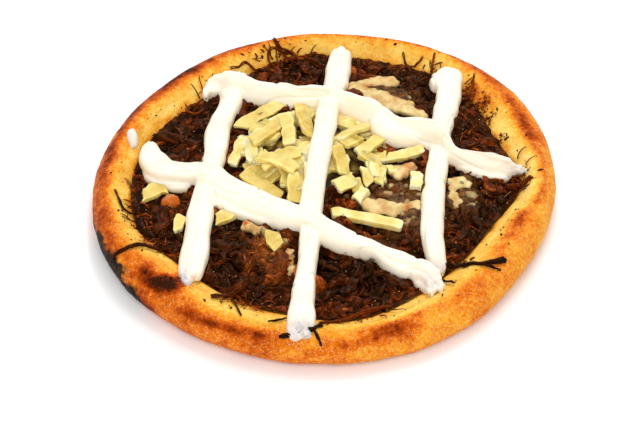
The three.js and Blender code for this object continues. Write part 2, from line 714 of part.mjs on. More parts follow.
const material = (color, roughness) =>
  new THREE.MeshStandardMaterial({ color, roughness, metalness: 0 });
const CRUST = material(0xdf9a45, 0.7);
const BEEF = material(0x4a2716, 0.45);
const FRESH_CHEESE = material(0xe9df96, 0.5);
const MELTED = material(0xc9b083, 0.35);
const CREAM = material(0xfbf4e4, 0.4);

const sfiha = new THREE.Group();

function add(name, solid, finish) {
  const made = solid.getMesh();
  const geometry = new THREE.BufferGeometry();
  const flat = new Float32Array(made.numVert * 3);
  for (let i = 0; i < made.numVert; i++) {
    flat.set(made.vertProperties.subarray(i * made.numProp, i * made.numProp + 3), i * 3);
  }
  geometry.setAttribute("position", new THREE.BufferAttribute(flat, 3));
  geometry.setIndex(new THREE.BufferAttribute(new Uint32Array(made.triVerts), 1));
  geometry.computeVertexNormals();
  const mesh = new THREE.Mesh(geometry, finish);
  mesh.name = name;
  sfiha.add(mesh);
}

add("bread", bread, CRUST);
add("beef_filling", beefSolid, BEEF);
add("grated_cheese_heap", heapSolid, FRESH_CHEESE);
for (const [name, solid] of Object.entries(looseSolids)) add(name, solid, FRESH_CHEESE);
for (const [name, solid] of Object.entries(meltedSolids)) add(name, solid, MELTED);
for (const [name, solid] of Object.entries({ ...ribSolids, ...bandSolids })) add(name, solid, CREAM);
add("cream_drop", drop, CREAM);

export default sfiha;
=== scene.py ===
"""An open sfiha: bread with a rolled rim, shredded beef, cheese and piped lines of cream cheese.

Lengths are in millimetres until a mesh is made. +Z is up, and -Y is the front edge. A column is an
array (count, 1) with one number for each thing, to go with arrays (count, steps) along it.
"""

import math

import bpy
import numpy as np
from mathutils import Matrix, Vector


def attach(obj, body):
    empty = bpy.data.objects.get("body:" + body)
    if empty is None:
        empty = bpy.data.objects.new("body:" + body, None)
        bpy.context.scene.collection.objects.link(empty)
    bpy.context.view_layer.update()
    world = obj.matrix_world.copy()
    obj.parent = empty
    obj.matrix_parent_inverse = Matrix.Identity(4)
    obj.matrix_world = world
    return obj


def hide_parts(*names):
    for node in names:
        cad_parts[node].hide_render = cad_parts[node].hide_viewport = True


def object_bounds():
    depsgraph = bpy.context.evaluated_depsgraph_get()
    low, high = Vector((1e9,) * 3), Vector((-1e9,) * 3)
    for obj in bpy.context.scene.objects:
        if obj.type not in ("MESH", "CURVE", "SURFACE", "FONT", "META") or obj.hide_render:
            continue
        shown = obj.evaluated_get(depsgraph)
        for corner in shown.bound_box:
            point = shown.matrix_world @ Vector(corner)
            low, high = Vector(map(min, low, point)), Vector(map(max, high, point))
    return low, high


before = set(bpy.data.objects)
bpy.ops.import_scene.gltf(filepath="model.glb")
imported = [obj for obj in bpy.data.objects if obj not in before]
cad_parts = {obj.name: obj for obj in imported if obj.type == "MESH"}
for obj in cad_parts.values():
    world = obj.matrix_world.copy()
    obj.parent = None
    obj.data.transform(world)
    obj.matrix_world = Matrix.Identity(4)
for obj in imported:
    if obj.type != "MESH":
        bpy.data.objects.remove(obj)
CAD_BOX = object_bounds()
MM = 0.001
TURN = 2 * np.pi
GOLDEN_ANGLE = math.pi * (3 - math.sqrt(5))
GOLDEN_SHARE = 0.618034
FINE_STEPS = 24  # steps between two points of a smooth curve that is then spaced evenly

# ---- Driving dimensions, the same as the solids' ----

BREAD_RADIUS = 64.3
OUTLINE_WAVES = [-0.1, 2.2, 1.9, -0.8, -1.4, -1.5, 0.1, 1.3, 0.4, 0.4, -0.2, -2.1]
FILLING_RADIUS = 52.2
FILLING_WAVES = [
    2.4, -0.2, 2.4, 3.7, 2.7, 2.6, -1.4, -1.8, 0.7, 1.8, 1.9, -1.4, -1.2, -0.4, 1.1, -2.2, -4.1, -3.3,
]
RIM_HEIGHT = 11.4
RIM_WAVES = [0, 0.4, 0.2, 0.6, 0.8, 0.4, 0.2, -0.2, -0.4, -0.8, -0.6, -0.2]
FLOOR_THICKNESS = 4
FILLING_EDGE_HEIGHT = 7.8
FILLING_DOME = 2.6
FILLING_LUMP = 0.45
HEAP_X, HEAP_Y, HEAP_RX, HEAP_RY, HEAP_HEIGHT = -4.6, 7, 22.6, 22, 7
HEAP_COVER = 4.4  # depth of shreds over the heap's core
CREAM_HEIGHT = 4.4
CREAM_SINK = 1
CREAM_CROSSING_RISE = 1.2
CREAM_CROSSING_REACH = 4.5

# The outer wall: distance in from the outer edge, and share of the rim's height.
OUTER_WALL = [
    (4.5, 0), (2.6, 0.045), (1.2, 0.15), (0.3, 0.3), (0, 0.46), (0.4, 0.64), (1.4, 0.8), (2.9, 0.92),
]
WIDEST = 4  # the outer wall's point that lies furthest out
# The inner slope: share of the rim's width out from the filling, and share of the rim's height.
INNER_SLOPE = [(0.58, 1), (0.42, 0.985), (0.28, 0.92), (0.15, 0.8)]
# The recess under the filling: distance in from the filling's edge, and height.
RECESS = [(0, FILLING_EDGE_HEIGHT), (1.6, 6), (3.6, 4.8), (6, FLOOR_THICKNESS + 0.2)]

# ---- Curves and noise ----


def between(a, b, c, d, f):
    """The smooth curve from b to c, with a before and d after them, at shares f."""
    return b + 0.5 * f * (c - a + f * (2 * a - 5 * b + 4 * c - d + f * (3 * (b - c) + d - a)))


def around(values, angle):
    """The value at each angle of a closed smooth curve through equally spaced values."""
    values = np.asarray(values, float)
    place = (np.asarray(angle) / TURN * len(values)) % len(values)
    i = np.floor(place).astype(int)
    return between(*(values[(i + k) % len(values)] for k in (-1, 0, 1, 2)), place - i)


def smooth_path(points, count):
    """count points spaced evenly along a smooth curve through the given points."""
    points = np.asarray(points, float)
    ends = np.vstack([2 * points[0] - points[1], points, 2 * points[-1] - points[-2]])
    place = np.linspace(0, len(points) - 1, FINE_STEPS * len(points))
    i = np.minimum(place.astype(int), len(points) - 2)
    fine = between(*(ends[i + k] for k in range(4)), (place - i)[:, None])
    far = np.concatenate([[0], np.cumsum(np.linalg.norm(np.diff(fine[:, :3], axis=0), axis=1))])
    places = np.linspace(0, far[-1], count)
    return np.stack([np.interp(places, far, values) for values in fine.T], axis=1)


def smoothstep(low, high, x):
    f = np.clip((x - low) / (high - low), 0, 1)
    return f * f * (3 - 2 * f)


def bell(x):
    """1 at 0, falling smoothly to 0 on both sides."""
    return np.exp(-(x**2))


def xyz(x, y, z=0):
    """Points (..., 3) from their coordinates."""
    return np.stack(np.broadcast_arrays(x, y, z), axis=-1)


def polar(radius, angle):
    return radius * np.cos(angle), radius * np.sin(angle)


def circle(count):
    """A column of angles, once round."""
    return np.linspace(0, TURN, count, endpoint=False)[:, None]


def unit(vectors):
    return vectors / (np.linalg.norm(vectors, axis=-1, keepdims=True) + 1e-9)


def patches(x, y, spots):
    """The sum of soft spots: x, y, half sizes, and strength."""
    total = 0
    for px, py, wide, tall, strength in spots:
        total = total + strength * np.exp(-((x - px) / wide) ** 2 - ((y - py) / tall) ** 2)
    return total


def hashed(ix, iy, iz, seed):
    """A repeatable number from 0 to 1 for each lattice point."""
    n = (ix * 73856093) ^ (iy * 19349663) ^ (iz * 83492791) ^ (seed * 2654435761)
    n = ((n ^ (n >> 13)) * 1274126177) & 0xFFFFFFFF
    n = ((n ^ (n >> 15)) * 2246822519) & 0xFFFFFFFF
    return ((n ^ (n >> 16)) & 0xFFFF) / 65535


def noise(points, size, seed):
    """Smooth noise from -1 to 1 at points (..., 3), with bumps about size across."""
    place = np.asarray(points, float) / size
    base = np.floor(place).astype(np.int64)
    f = place - base
    f = f * f * (3 - 2 * f)
    total = 0
    for corner in np.ndindex(2, 2, 2):
        weight = np.prod(np.where(corner, f, 1 - f), axis=-1)
        total = total + weight * hashed(*np.moveaxis(base + corner, -1, 0), seed)
    return 2 * total - 1


def shaken(points, size, seed, apart):
    """Noise in all three directions at points, each read apart mm from the last."""
    return np.stack([noise(points + apart * k, size, seed) for k in range(3)], axis=-1)


# ---- The forms that carry everything else ----


def outer_radius(angle):
    return BREAD_RADIUS + around(OUTLINE_WAVES, angle)


def filling_radius(angle):
    return FILLING_RADIUS + around(FILLING_WAVES, angle)


def inside_by(x, y):
    """Distance from a place to the beef's edge, less than 0 beyond it."""
    return filling_radius(np.arctan2(y, x)) - np.hypot(x, y)


def beef_share(x, y):
    """0 in the middle of the beef, and 1 at its edge."""
    return np.minimum(1, np.hypot(x, y) / filling_radius(np.arctan2(y, x)))


def bread_section(angle):
    """The bread's section at each angle (angles, points, 2), from the foot of its outer wall."""
    outer, filling = outer_radius(angle), filling_radius(angle)
    height = RIM_HEIGHT + around(RIM_WAVES, angle)
    rows = [(outer - inwards, share * height) for inwards, share in OUTER_WALL]
    rows += [(filling + share * (outer - filling), rise * height) for share, rise in INNER_SLOPE]
    rows += [(filling - inwards, z + 0 * outer) for inwards, z in RECESS]
    return np.moveaxis(np.array(rows), -1, 0)


def rim_top(x, y):
    """Height of the rim's upper surface."""
    r = np.hypot(x, y).ravel()
    section = bread_section(np.arctan2(y, x).ravel())
    height = np.zeros(r.size)
    for k in range(WIDEST, len(OUTER_WALL) + len(INNER_SLOPE)):
        (r0, z0), (r1, z1) = section[:, k].T, section[:, k + 1].T
        line = z0 + (z1 - z0) * (r0 - r) / np.maximum(r0 - r1, 1e-6)
        height = np.where((r <= r0) & (r >= r1), line, height)
    return height.reshape(np.shape(x))


def beef_top(x, y):
    broad = np.sin(0.31 * x + 0.9) * np.cos(0.27 * y - 0.4)
    small = np.sin(0.63 * x - 0.52 * y + 2.1)
    lumps = FILLING_LUMP * (broad + 0.6 * small)
    return FILLING_EDGE_HEIGHT + (FILLING_DOME + lumps) * (1 - beef_share(x, y) ** 2)


def beef_lumps(x, y):
    """The clumps that the shredded beef lies in, in mm above beef_top."""
    clumps = 0.9 * noise(xyz(x, y), 6, 41)
    folds = 0.5 - 2 * np.abs(noise(xyz(x, y), 2.9, 42))
    return (clumps + 0.7 * folds) * (1 - 0.6 * beef_share(x, y) ** 6)


def heap_share(x, y):
    """0 in the middle of the heap of cheese, and 1 at its edge."""
    return np.hypot((x - HEAP_X) / HEAP_RX, (y - HEAP_Y) / HEAP_RY)


def heap_top(x, y):
    return beef_top(x, y) + HEAP_HEIGHT * np.clip(1 - heap_share(x, y) ** 2, 0, None) ** 0.8


def over(x, y, filling_top=beef_top):
    """Height of the filling, or of the rim beyond its edge."""
    return np.where(inside_by(x, y) > 0, filling_top(x, y), rim_top(x, y))


def support(x, y):
    """Height of what lies under the toppings: the heap, the beef or the rim."""
    return over(x, y, heap_top)


# ---- Meshes from arrays ----


def placed(name, data, location=(0, 0, 0), rotation=(0, 0, 0)):
    thing = bpy.data.objects.new(name, data)
    thing.location = [v * MM for v in location]
    thing.rotation_euler = rotation
    bpy.context.scene.collection.objects.link(thing)
    return thing


def make_piece(name, points, faces, attributes=None):
    """An object with points (N, 3) in mm, faces as arrays of corners, and numbers for its points."""
    mesh = bpy.data.meshes.new(name)
    mesh.vertices.add(len(points))
    mesh.vertices.foreach_set("co", (np.asarray(points) * MM).astype(np.float32).ravel())
    corners = np.concatenate([group.ravel() for group in faces]).astype(np.int32)
    sizes = np.concatenate([np.full(len(group), group.shape[1]) for group in faces])
    mesh.loops.add(len(corners))
    mesh.loops.foreach_set("vertex_index", corners)
    mesh.polygons.add(len(sizes))
    mesh.polygons.foreach_set("loop_start", (np.cumsum(sizes) - sizes).astype(np.int32))
    mesh.polygons.foreach_set("use_smooth", np.ones(len(sizes), bool))
    mesh.update(calc_edges=True)
    piece = placed(name, mesh)
    set_attributes(piece, **(attributes or {}))
    return piece


def set_attributes(piece, **attributes):
    for key, values in attributes.items():
        layer = piece.data.attributes.new(key, "FLOAT", "POINT")
        layer.data.foreach_set("value", np.asarray(values, np.float32).ravel())


def skin_of(piece):
    """A piece's points in mm, and its normals."""
    points, normals = np.zeros((2, len(piece.data.vertices) * 3), np.float32)
    piece.data.vertices.foreach_get("co", points)
    piece.data.vertex_normals.foreach_get("vector", normals)
    return points.reshape(-1, 3).astype(float) / MM, normals.reshape(-1, 3).astype(float)


def move_points(piece, points):
    piece.data.vertices.foreach_set("co", (points * MM).astype(np.float32).ravel())
    piece.data.update()


def joined(parts):
    """Several (points, faces, attributes) as one."""
    offsets = np.cumsum([0] + [len(part[0]) for part in parts])
    points = np.concatenate([part[0] for part in parts])
    faces = [group + offset for part, offset in zip(parts, offsets) for group in part[1]]
    keys = parts[0][2].keys()
    return points, faces, {key: np.concatenate([part[2][key] for part in parts]) for key in keys}


def lathe(grid, **attributes):
    """A closed skin over grid (angles, rings, 3). Its first and last rings shrink to a point."""
    count = grid.shape[0] * grid.shape[1]
    here = np.arange(count).reshape(grid.shape[:2])
    after = np.roll(here, -1, axis=0)
    quads = np.stack([here[:, :-1], after[:, :-1], after[:, 1:], here[:, 1:]], axis=-1)
    fans = [xyz(after[:, 0], here[:, 0], count), xyz(here[:, -1], after[:, -1], count + 1)]
    points = np.concatenate([grid.reshape(-1, 3), grid[:, [0, -1]].mean(axis=0)])
    spread = {
        key: np.concatenate([values.ravel(), values[:, [0, -1]].mean(axis=0)])
        for key, values in attributes.items()
    }
    return points, [quads.reshape(-1, 4), *fans], spread


def bars(paths, widths, heights, sides=6, square=1.0, turn=0.0, ridges=1.0, **attributes):
    """Closed bars along paths (bars, steps, 3), with half widths and half heights (bars, steps).

    square below 1 makes a section more four-cornered. turn is each section's roll in radians.
    ridges scales each corner of each section (bars, steps, sides).
    """
    shape = paths.shape[:2]
    ahead = unit(np.gradient(paths, axis=1))
    side = np.cross([0.0, 0.0, 1.0], ahead[:, 0]) + 1e-3 * np.array([1.0, 0.3, 0])
    across = np.zeros_like(paths)
    for k in range(shape[1]):
        side = unit(side - (side * ahead[:, k]).sum(-1, keepdims=True) * ahead[:, k])
        across[:, k] = side
    up = np.cross(ahead, across)
    turn = np.broadcast_to(turn, shape)[..., None]
    across, up = across * np.cos(turn) + up * np.sin(turn), up * np.cos(turn) - across * np.sin(turn)
    flat, tall = polar(1, TURN * (np.arange(sides) + 0.5) / sides)
    wide, high = (
        np.broadcast_to(size, shape)[..., None] * np.sign(edge) * np.abs(edge) ** square * ridges
        for size, edge in ((widths, flat), (heights, tall))
    )
    grid = paths[:, :, None] + across[:, :, None] * wide[..., None] + up[:, :, None] * high[..., None]
    here = np.arange(wide.size).reshape(wide.shape)
    after = np.roll(here, -1, axis=2)
    quads = np.stack([here[:, :-1], after[:, :-1], after[:, 1:], here[:, 1:]], axis=-1)
    spread = {
        key: np.repeat(np.broadcast_to(values, shape).ravel(), sides)
        for key, values in attributes.items()
    }
    return grid.reshape(-1, 3), [quads.reshape(-1, 4), here[:, 0, ::-1], here[:, -1]], spread


def fused(name, parts, voxel, passes):
    """One closed mesh from overlapping ones, with its creases softened by smoothing passes."""
    piece = make_piece(name, *joined(parts))
    remesh = piece.modifiers.new("fuse", "REMESH")
    remesh.mode = "VOXEL"
    remesh.voxel_size = voxel * MM
    remesh.use_smooth_shade = True
    smooth = piece.modifiers.new("soften", "SMOOTH")
    smooth.iterations = passes
    rough = piece.data
    graph = bpy.context.evaluated_depsgraph_get()
    piece.data = bpy.data.meshes.new_from_object(piece.evaluated_get(graph))
    piece.modifiers.clear()
    piece.data.name = name
    bpy.data.meshes.remove(rough)
    return piece


# ---- Materials ----


def srgb(red, green, blue):
    """A colour given from 0 to 255, as a material's linear colour."""
    channels = [c / 255 for c in (red, green, blue)]
    return (*(c / 12.92 if c <= 0.04045 else ((c + 0.055) / 1.055) ** 2.4 for c in channels), 1.0)


class Shader:
    """A node material, with short calls for the nodes that are used here.

    Colours are given from 0 to 255. A value is a number, a colour or another node's output.
    """

    def __init__(self, name):
        self.material = bpy.data.materials.new(name)
        self.material.use_nodes = True
        self.tree = self.material.node_tree
        self.surface = self.tree.nodes["Principled BSDF"]
        self.place = self.node("TexCoord", {}, "Object")

    def node(self, kind, inputs, output, **settings):
        made = self.tree.nodes.new("ShaderNode" + kind)
        for key, value in settings.items():
            setattr(made, key, value)
        for key, value in inputs.items():
            self.put(made.inputs[key], value)
        return made.outputs[output]

    def put(self, socket, value):
        if isinstance(value, bpy.types.NodeSocket):
            self.tree.links.new(value, socket)
        else:
            socket.default_value = srgb(*value) if socket.type == "RGBA" else value

    def set(self, **inputs):
        for key, value in inputs.items():
            self.put(self.surface.inputs[key.replace("_", " ")], value)

    def attribute(self, name):
        return self.node("Attribute", {}, "Fac", attribute_name=name)

    def noise(self, size, detail=2.0, rough=0.5):
        """Noise from 0 to 1 with bumps about size mm across."""
        inputs = {"Vector": self.place, "Scale": 1 / (size * MM), "Detail": detail, "Roughness": rough}
        return self.node("TexNoise", inputs, "Fac")

    def math(self, operation, a, b, clamp=False):
        return self.node("Math", {0: a, 1: b}, 0, operation=operation, use_clamp=clamp)

    def swing(self, value, depth):
        """A value from 0 to 1 as -depth / 2 to depth / 2."""
        return self.math("MULTIPLY", self.math("SUBTRACT", value, 0.5), depth)

    def span(self, value, low, high, to_low=0.0, to_high=1.0):
        """value from low to high as to_low to to_high, clamped."""
        inputs = {"Value": value, "From Min": low, "From Max": high, "To Min": to_low, "To Max": to_high}
        return self.node("MapRange", inputs, 0, clamp=True)

    def ramp(self, factor, stops):
        """A colour along stops of place and colour."""
        colour = self.node("ValToRGB", {"Fac": factor}, "Color")
        elements = colour.node.color_ramp.elements
        while len(elements) < len(stops):
            elements.new(0.5)
        for element, (place, *shade) in zip(elements, stops):
            element.position = place
            element.color = srgb(*shade)
        return colour

    def mix(self, factor, a, b):
        return self.node("Mix", {0: factor, 6: a, 7: b}, 2, data_type="RGBA", clamp_factor=True)

    def bump(self, height, depth, before=None):
        """Relief from a height of 0 to 1, depth mm deep."""
        inputs = {"Height": height, "Distance": depth * MM, "Strength": 1.0}
        if before:
            inputs["Normal"] = before
        return self.node("Bump", inputs, "Normal")


def dress(piece, material, slot, *nodes):
    """What every piece needs: its material, its body and the solids that it replaces. The slot argument is
    not used.
    """
    piece.data.materials.clear()
    piece.data.materials.append(material)
    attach(piece, "root")
    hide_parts(*nodes)


# ---- Bread ----

CRUST_ANGLES = 720
CRUST_STEPS = 7  # rings between two points of the section
SECTION_END = len(OUTER_WALL) + len(INNER_SLOPE) + 2  # points of the section that show
UNDERSIDE_RINGS = (0.02, 0.3, 0.6, 0.85, 0.97)
FLOOR_RINGS = (0.6, 0.03)

# How brown the crust is all round, by share of the way over the rim.
PLAIN_BROWNING = [0, 0.12, 0.3, 0.5, 0.6, 0.7, 0.82, 0.95], [0.44, 0.42, 0.4, 0.42, 0.41, 0.25, 0.14, 0.24]
# Browned patches: angle in degrees, share of the way over the rim, half sizes, and strength.
BROWNED = [
    (225.2, 0.62, 3.8, 0.15, 0.44), (226, 0.76, 2.6, 0.1, 0.38), (221, 0.52, 4.4, 0.14, 0.26),
    (246, 0.44, 9, 0.06, 0.26), (237, 0.42, 4, 0.05, 0.18), (244, 0.62, 15, 0.09, -0.22),
    (264, 0.6, 6, 0.08, -0.14), (291, 0.68, 12, 0.07, -0.14), (254, 0.49, 4, 0.06, 0.22),
    (284, 0.54, 7, 0.11, 0.34), (276, 0.46, 5, 0.06, 0.14), (296, 0.6, 3, 0.04, 0.16),
    (304, 0.55, 4, 0.05, 0.14), (196, 0.32, 9, 0.14, 0.2), (188, 0.5, 7, 0.1, 0.12),
    (205, 0.5, 6, 0.06, 0.18), (214, 0.62, 3, 0.04, 0.1), (219, 0.22, 7, 0.08, 0.4),
    (341, 0.65, 6, 0.09, 0.22), (331.5, 0.68, 4, 0.06, 0.16), (328, 0.6, 5, 0.06, 0.12),
    (313.5, 0.56, 3, 0.08, 0.1), (352, 0.58, 4, 0.05, 0.16), (14, 0.65, 5, 0.07, 0.18),
    (25, 0.6, 7, 0.08, 0.18), (6, 0.62, 4, 0.07, 0.17), (18, 0.6, 10, 0.13, 0.18),
    (32, 0.62, 6, 0.1, 0.15), (34.6, 0.82, 4, 0.1, 0.42), (41.6, 0.82, 3, 0.08, 0.38),
    (150, 0.56, 24, 0.16, 0.2), (126, 0.56, 12, 0.12, 0.12), (96, 0.62, 24, 0.12, 0.12),
    (172, 0.6, 14, 0.14, 0.12), (135, 0.45, 8, 0.08, 0.04), (60, 0.52, 14, 0.08, 0.16),
    (86, 0.52, 14, 0.08, 0.16), (110, 0.52, 12, 0.07, 0.14), (42, 0.56, 8, 0.06, 0.12),
    (262, 0.62, 2, 0.05, 0.18),
]
CHARRED = (205, 0.2, 17, 0.27)  # the burnt stretch of the outer wall: angle, share, half sizes
FOLD_ANGLE = 208.5  # a crease in the rim, where a strand of beef lies


def turned(angle, middle):
    """How far an angle is from another, in degrees from -180 to 180."""
    return (np.degrees(angle) - middle + 180) % 360 - 180


def away(angle, share, middle, over_rim, wide, tall):
    """Squared distance from a patch on the crust, 1 at its edge."""
    return (turned(angle, middle) / wide) ** 2 + ((share - over_rim) / tall) ** 2


def crust_relief(angle, share, points):
    """How far the crust stands out from its plain form, in mm."""
    relief = 0.26 * noise(points, 11, 1) + 0.14 * noise(points, 4.5, 2) + 0.05 * noise(points, 1.7, 3)
    slope = smoothstep(0.62, 0.72, share) * (1 - smoothstep(0.9, 0.97, share))
    strip = xyz(np.degrees(angle) / 3.4, share * 3)
    relief += slope * (0.3 * noise(strip, 1, 4) + 0.16 * noise(strip * [2.3, 1, 1], 1, 5))
    blisters = smoothstep(0.25, 0.8, noise(points, 1.15, 6))
    relief += 0.09 * blisters * smoothstep(0.06, 0.2, share) * (1 - smoothstep(0.5, 0.62, share))
    fold = bell((turned(angle, FOLD_ANGLE) - 9 * (share - 0.6)) / 0.75)
    relief -= 0.9 * fold * smoothstep(0.4, 0.56, share) * (1 - smoothstep(0.88, 0.97, share))
    return relief - 0.3


def crust_browning(angle, share, points):
    """How brown the crust is baked, from 0, pale, to 1, nearly black."""
    left = bell(turned(angle, 190) / 55) + 0.6 * bell(turned(angle, 255) / 22)
    back = bell(turned(angle, 85) / 50)
    right = bell(turned(angle, 8) / 42)
    plain = np.interp(share, *PLAIN_BROWNING)
    plain += (0.1 * left + 0.08 * back) * (1 - smoothstep(0.55, 0.72, share))
    plain -= right * (0.045 + 0.04 * smoothstep(0.6, 0.72, share))
    mottle = 0.6 * noise(points, 5.5, 11) + 0.45 * noise(points, 2.2, 12) + 0.3 * noise(points, 0.9, 13)
    browned = sum(strength * np.exp(-away(angle, share, *spot)) for *spot, strength in BROWNED)
    oil = smoothstep(0.82, 0.97, share + 0.05 * noise(points, 3, 14)) * (0.14 + 0.2 * noise(points, 2, 15))
    return plain + oil + 0.17 * mottle * (0.5 + plain) + browned * (1.1 + 0.6 * mottle)


def crust_char(angle, share, points):
    """How burnt the crust is, from 0 to 1."""
    ragged = 0.5 * noise(points, 3.4, 21) + 0.3 * noise(points, 1.2, 22)
    return smoothstep(-0.1, 0.25, 0.9 - away(angle, share, *CHARRED) + ragged)


def bread_material():
    mat = Shader("baked_crust")
    toast = mat.attribute("toast")
    fine = mat.noise(0.9, 3, 0.65)
    baked = mat.math("ADD", toast, mat.swing(fine, 0.5))
    baked = mat.math("ADD", baked, mat.swing(mat.noise(3.5), 0.24), clamp=True)
    colour = mat.ramp(baked, [
        (0, 252, 218, 124), (0.14, 245, 195, 86), (0.32, 232, 155, 40), (0.5, 216, 107, 9),
        (0.68, 172, 66, 2), (0.84, 110, 36, 2), (1, 46, 16, 4),
    ])
    dots = mat.span(mat.noise(0.55, 1), 0.62, 0.76)
    dots = mat.math("MULTIPLY", dots, mat.span(toast, 0.34, 0.6, 0, 0.55))
    colour = mat.mix(dots, colour, (138, 60, 18))
    # Pale flecks on the less browned crust are painted highlights: they stand in for glints on its blisters.
    pale = mat.span(mat.noise(0.5, 2, 0.7), 0.54, 0.68, 0, 0.4)
    pale = mat.math("MULTIPLY", pale, mat.span(toast, 0.5, 0.75, 1, 0))
    colour = mat.mix(pale, colour, (255, 222, 160))
    soot = mat.ramp(mat.noise(1.4, 3), [(0.35, 14, 8, 5), (0.6, 44, 26, 14), (0.75, 104, 58, 26)])
    mat.set(Base_Color=mat.mix(mat.attribute("char"), colour, soot))
    mat.set(Roughness=mat.span(fine, 0.3, 0.7, 0.42, 0.68))
    mat.set(Specular_IOR_Level=0.07, Specular_Tint=(255, 220, 160))
    mat.set(Normal=mat.bump(mat.noise(0.45), 0.1, mat.bump(fine, 0.14)))
    return mat.material


def build_bread():
    angle = circle(CRUST_ANGLES)
    control = bread_section(angle[:, 0])
    ends = np.concatenate([2 * control[:, :1] - control[:, 1:2], control, control[:, -1:]], axis=1)
    place = np.linspace(0, SECTION_END - 1, (SECTION_END - 1) * CRUST_STEPS + 1)
    i = np.minimum(place.astype(int), SECTION_END - 2)
    section = between(*(ends[:, i + k] for k in range(4)), (place - i)[None, :, None])
    section[..., 1] = np.maximum(section[..., 1], 0)
    far = np.cumsum(np.linalg.norm(np.diff(section, axis=1), axis=-1), axis=1)
    share = np.concatenate([0 * angle, far / far[:, -1:]], axis=1)
    foot, recess = section[:, :1], control[:, SECTION_END:]
    skin, below, recess, inside = (
        xyz(*polar(rings[..., 0], angle), rings[..., 1])
        for rings in (
            section, foot * [[s, 1] for s in UNDERSIDE_RINGS], recess,
            recess[:, -1:] * [[s, 1] for s in FLOOR_RINGS],
        )
    )
    upper = np.concatenate([recess, inside], axis=1)
    out = np.cross(np.roll(skin, -1, axis=0) - np.roll(skin, 1, axis=0), np.gradient(skin, axis=1))
    turn = angle + 0 * share
    relief = crust_relief(turn, share, skin) * smoothstep(0, 0.06, share)
    skin = skin + unit(out) * relief[..., None]
    underside = 0.42 + 0.14 * noise(below, 9, 31) + 0.1 * noise(below, 3, 32)
    toast = [underside, crust_browning(turn, share, skin), 0 * upper[..., 0] + 0.1]
    char = [0 * underside, crust_char(turn, share, skin), 0 * upper[..., 0]]
    bread = make_piece("bread_crust", *lathe(
        np.concatenate([below, skin, upper], axis=1),
        toast=np.concatenate(toast, axis=1), char=np.concatenate(char, axis=1),
    ))
    dress(bread, bread_material(), "crust", "bread")


# ---- Beef ----

# Lighter and darker stretches of the beef: x, y, half sizes, and change of tone.
BEEF_TONES = [
    (-15, -29, 6, 9, 0.32), (-26, -30, 3.4, 11, -0.2), (-14, -46, 9, 6, 0.04), (8, -46, 9, 6, 0.08),
    (10, -38, 12, 6, -0.14), (24, -10, 7, 8, 0.08), (-38, 20, 10, 10, -0.1), (-44, -13, 7, 8, 0.06),
    (-20, 47, 9, 5, 0.06), (12, 47, 12, 5, 0.04), (40, 20, 7, 14, -0.03), (38, -24, 8, 8, -0.12),
]
# Thin greyish films of melted fat: x, y, half sizes, and strength.
BEEF_FILM = [
    (22, -8, 9, 9, 0.7), (38, -8, 5, 7, 0.5), (20, 34, 11, 7, 0.35), (-15, -30, 6, 9, 0.25),
    (-44, -7, 5, 4, 0.25), (20, -22, 9, 4, 0.3), (-15, -27, 5, 6, 0.3),
]
# The core's underside: share of the radius, distance in from the edge, and height.
CORE_UNDERSIDE = [(0.02, 0, 4.4), (0.5, 0, 4.4), (1, 6.6, 4.5), (1, 4.2, 5.2), (1, 2.2, 6.2), (1, 0.9, 7.2)]
CORE_ANGLES, CORE_RINGS = 560, 100
STRIPS = 104
CHUNKS = 460
BUNDLES = 220
FIBRES_IN_BUNDLE = 8
FIBRES = 1600
DROPLETS = 420
BEEF_MARGIN = 1.2  # how far inside the beef's edge its shreds stay
HEAP_CLEARANCE = 0.86  # share of the heap's size beyond which shreds of beef lie
LOBE_CLEARANCE = 0.4  # distance that they keep from a lobe of cheese


def beef_heading(x, y):
    """The way the fibres lie, which drifts over the filling."""
    return 1.4 * (np.sin(x / 13 + 1) + np.cos(y / 11 - 0.5))


def beef_tone(random, x, y, middle, spread):
    # The beef_lumps term is painted shade: darker in the hollows between clumps, lighter on their tops. The
    # rest is the meat's own tone.
    return random.normal(middle, spread, x.shape) + 0.16 * beef_lumps(x, y) + patches(x, y, BEEF_TONES)


def beef_film(paths):
    return patches(paths[..., 0], paths[..., 1], BEEF_FILM)


def beef_material():
    mat = Shader("shredded_beef")
    shade = mat.math("ADD", mat.attribute("tone"), mat.swing(mat.noise(0.8, 3, 0.65), 0.7), clamp=True)
    colour = mat.ramp(shade, [
        (0, 11, 3, 0), (0.25, 45, 14, 1), (0.5, 98, 35, 4), (0.75, 160, 75, 17), (1, 222, 142, 62),
    ])
    film = mat.math("MULTIPLY", mat.attribute("film"), mat.span(mat.noise(2.2), 0.35, 0.65))
    mat.set(Base_Color=mat.mix(film, colour, (126, 82, 40)))
    mat.set(Specular_IOR_Level=0.22, Specular_Tint=(255, 164, 92))
    mat.set(Roughness=mat.span(mat.noise(1.3), 0.42, 0.6, 0.12, 0.46))
    mat.set(Normal=mat.bump(mat.noise(0.5, 3, 0.7), 0.12))
    return mat.material


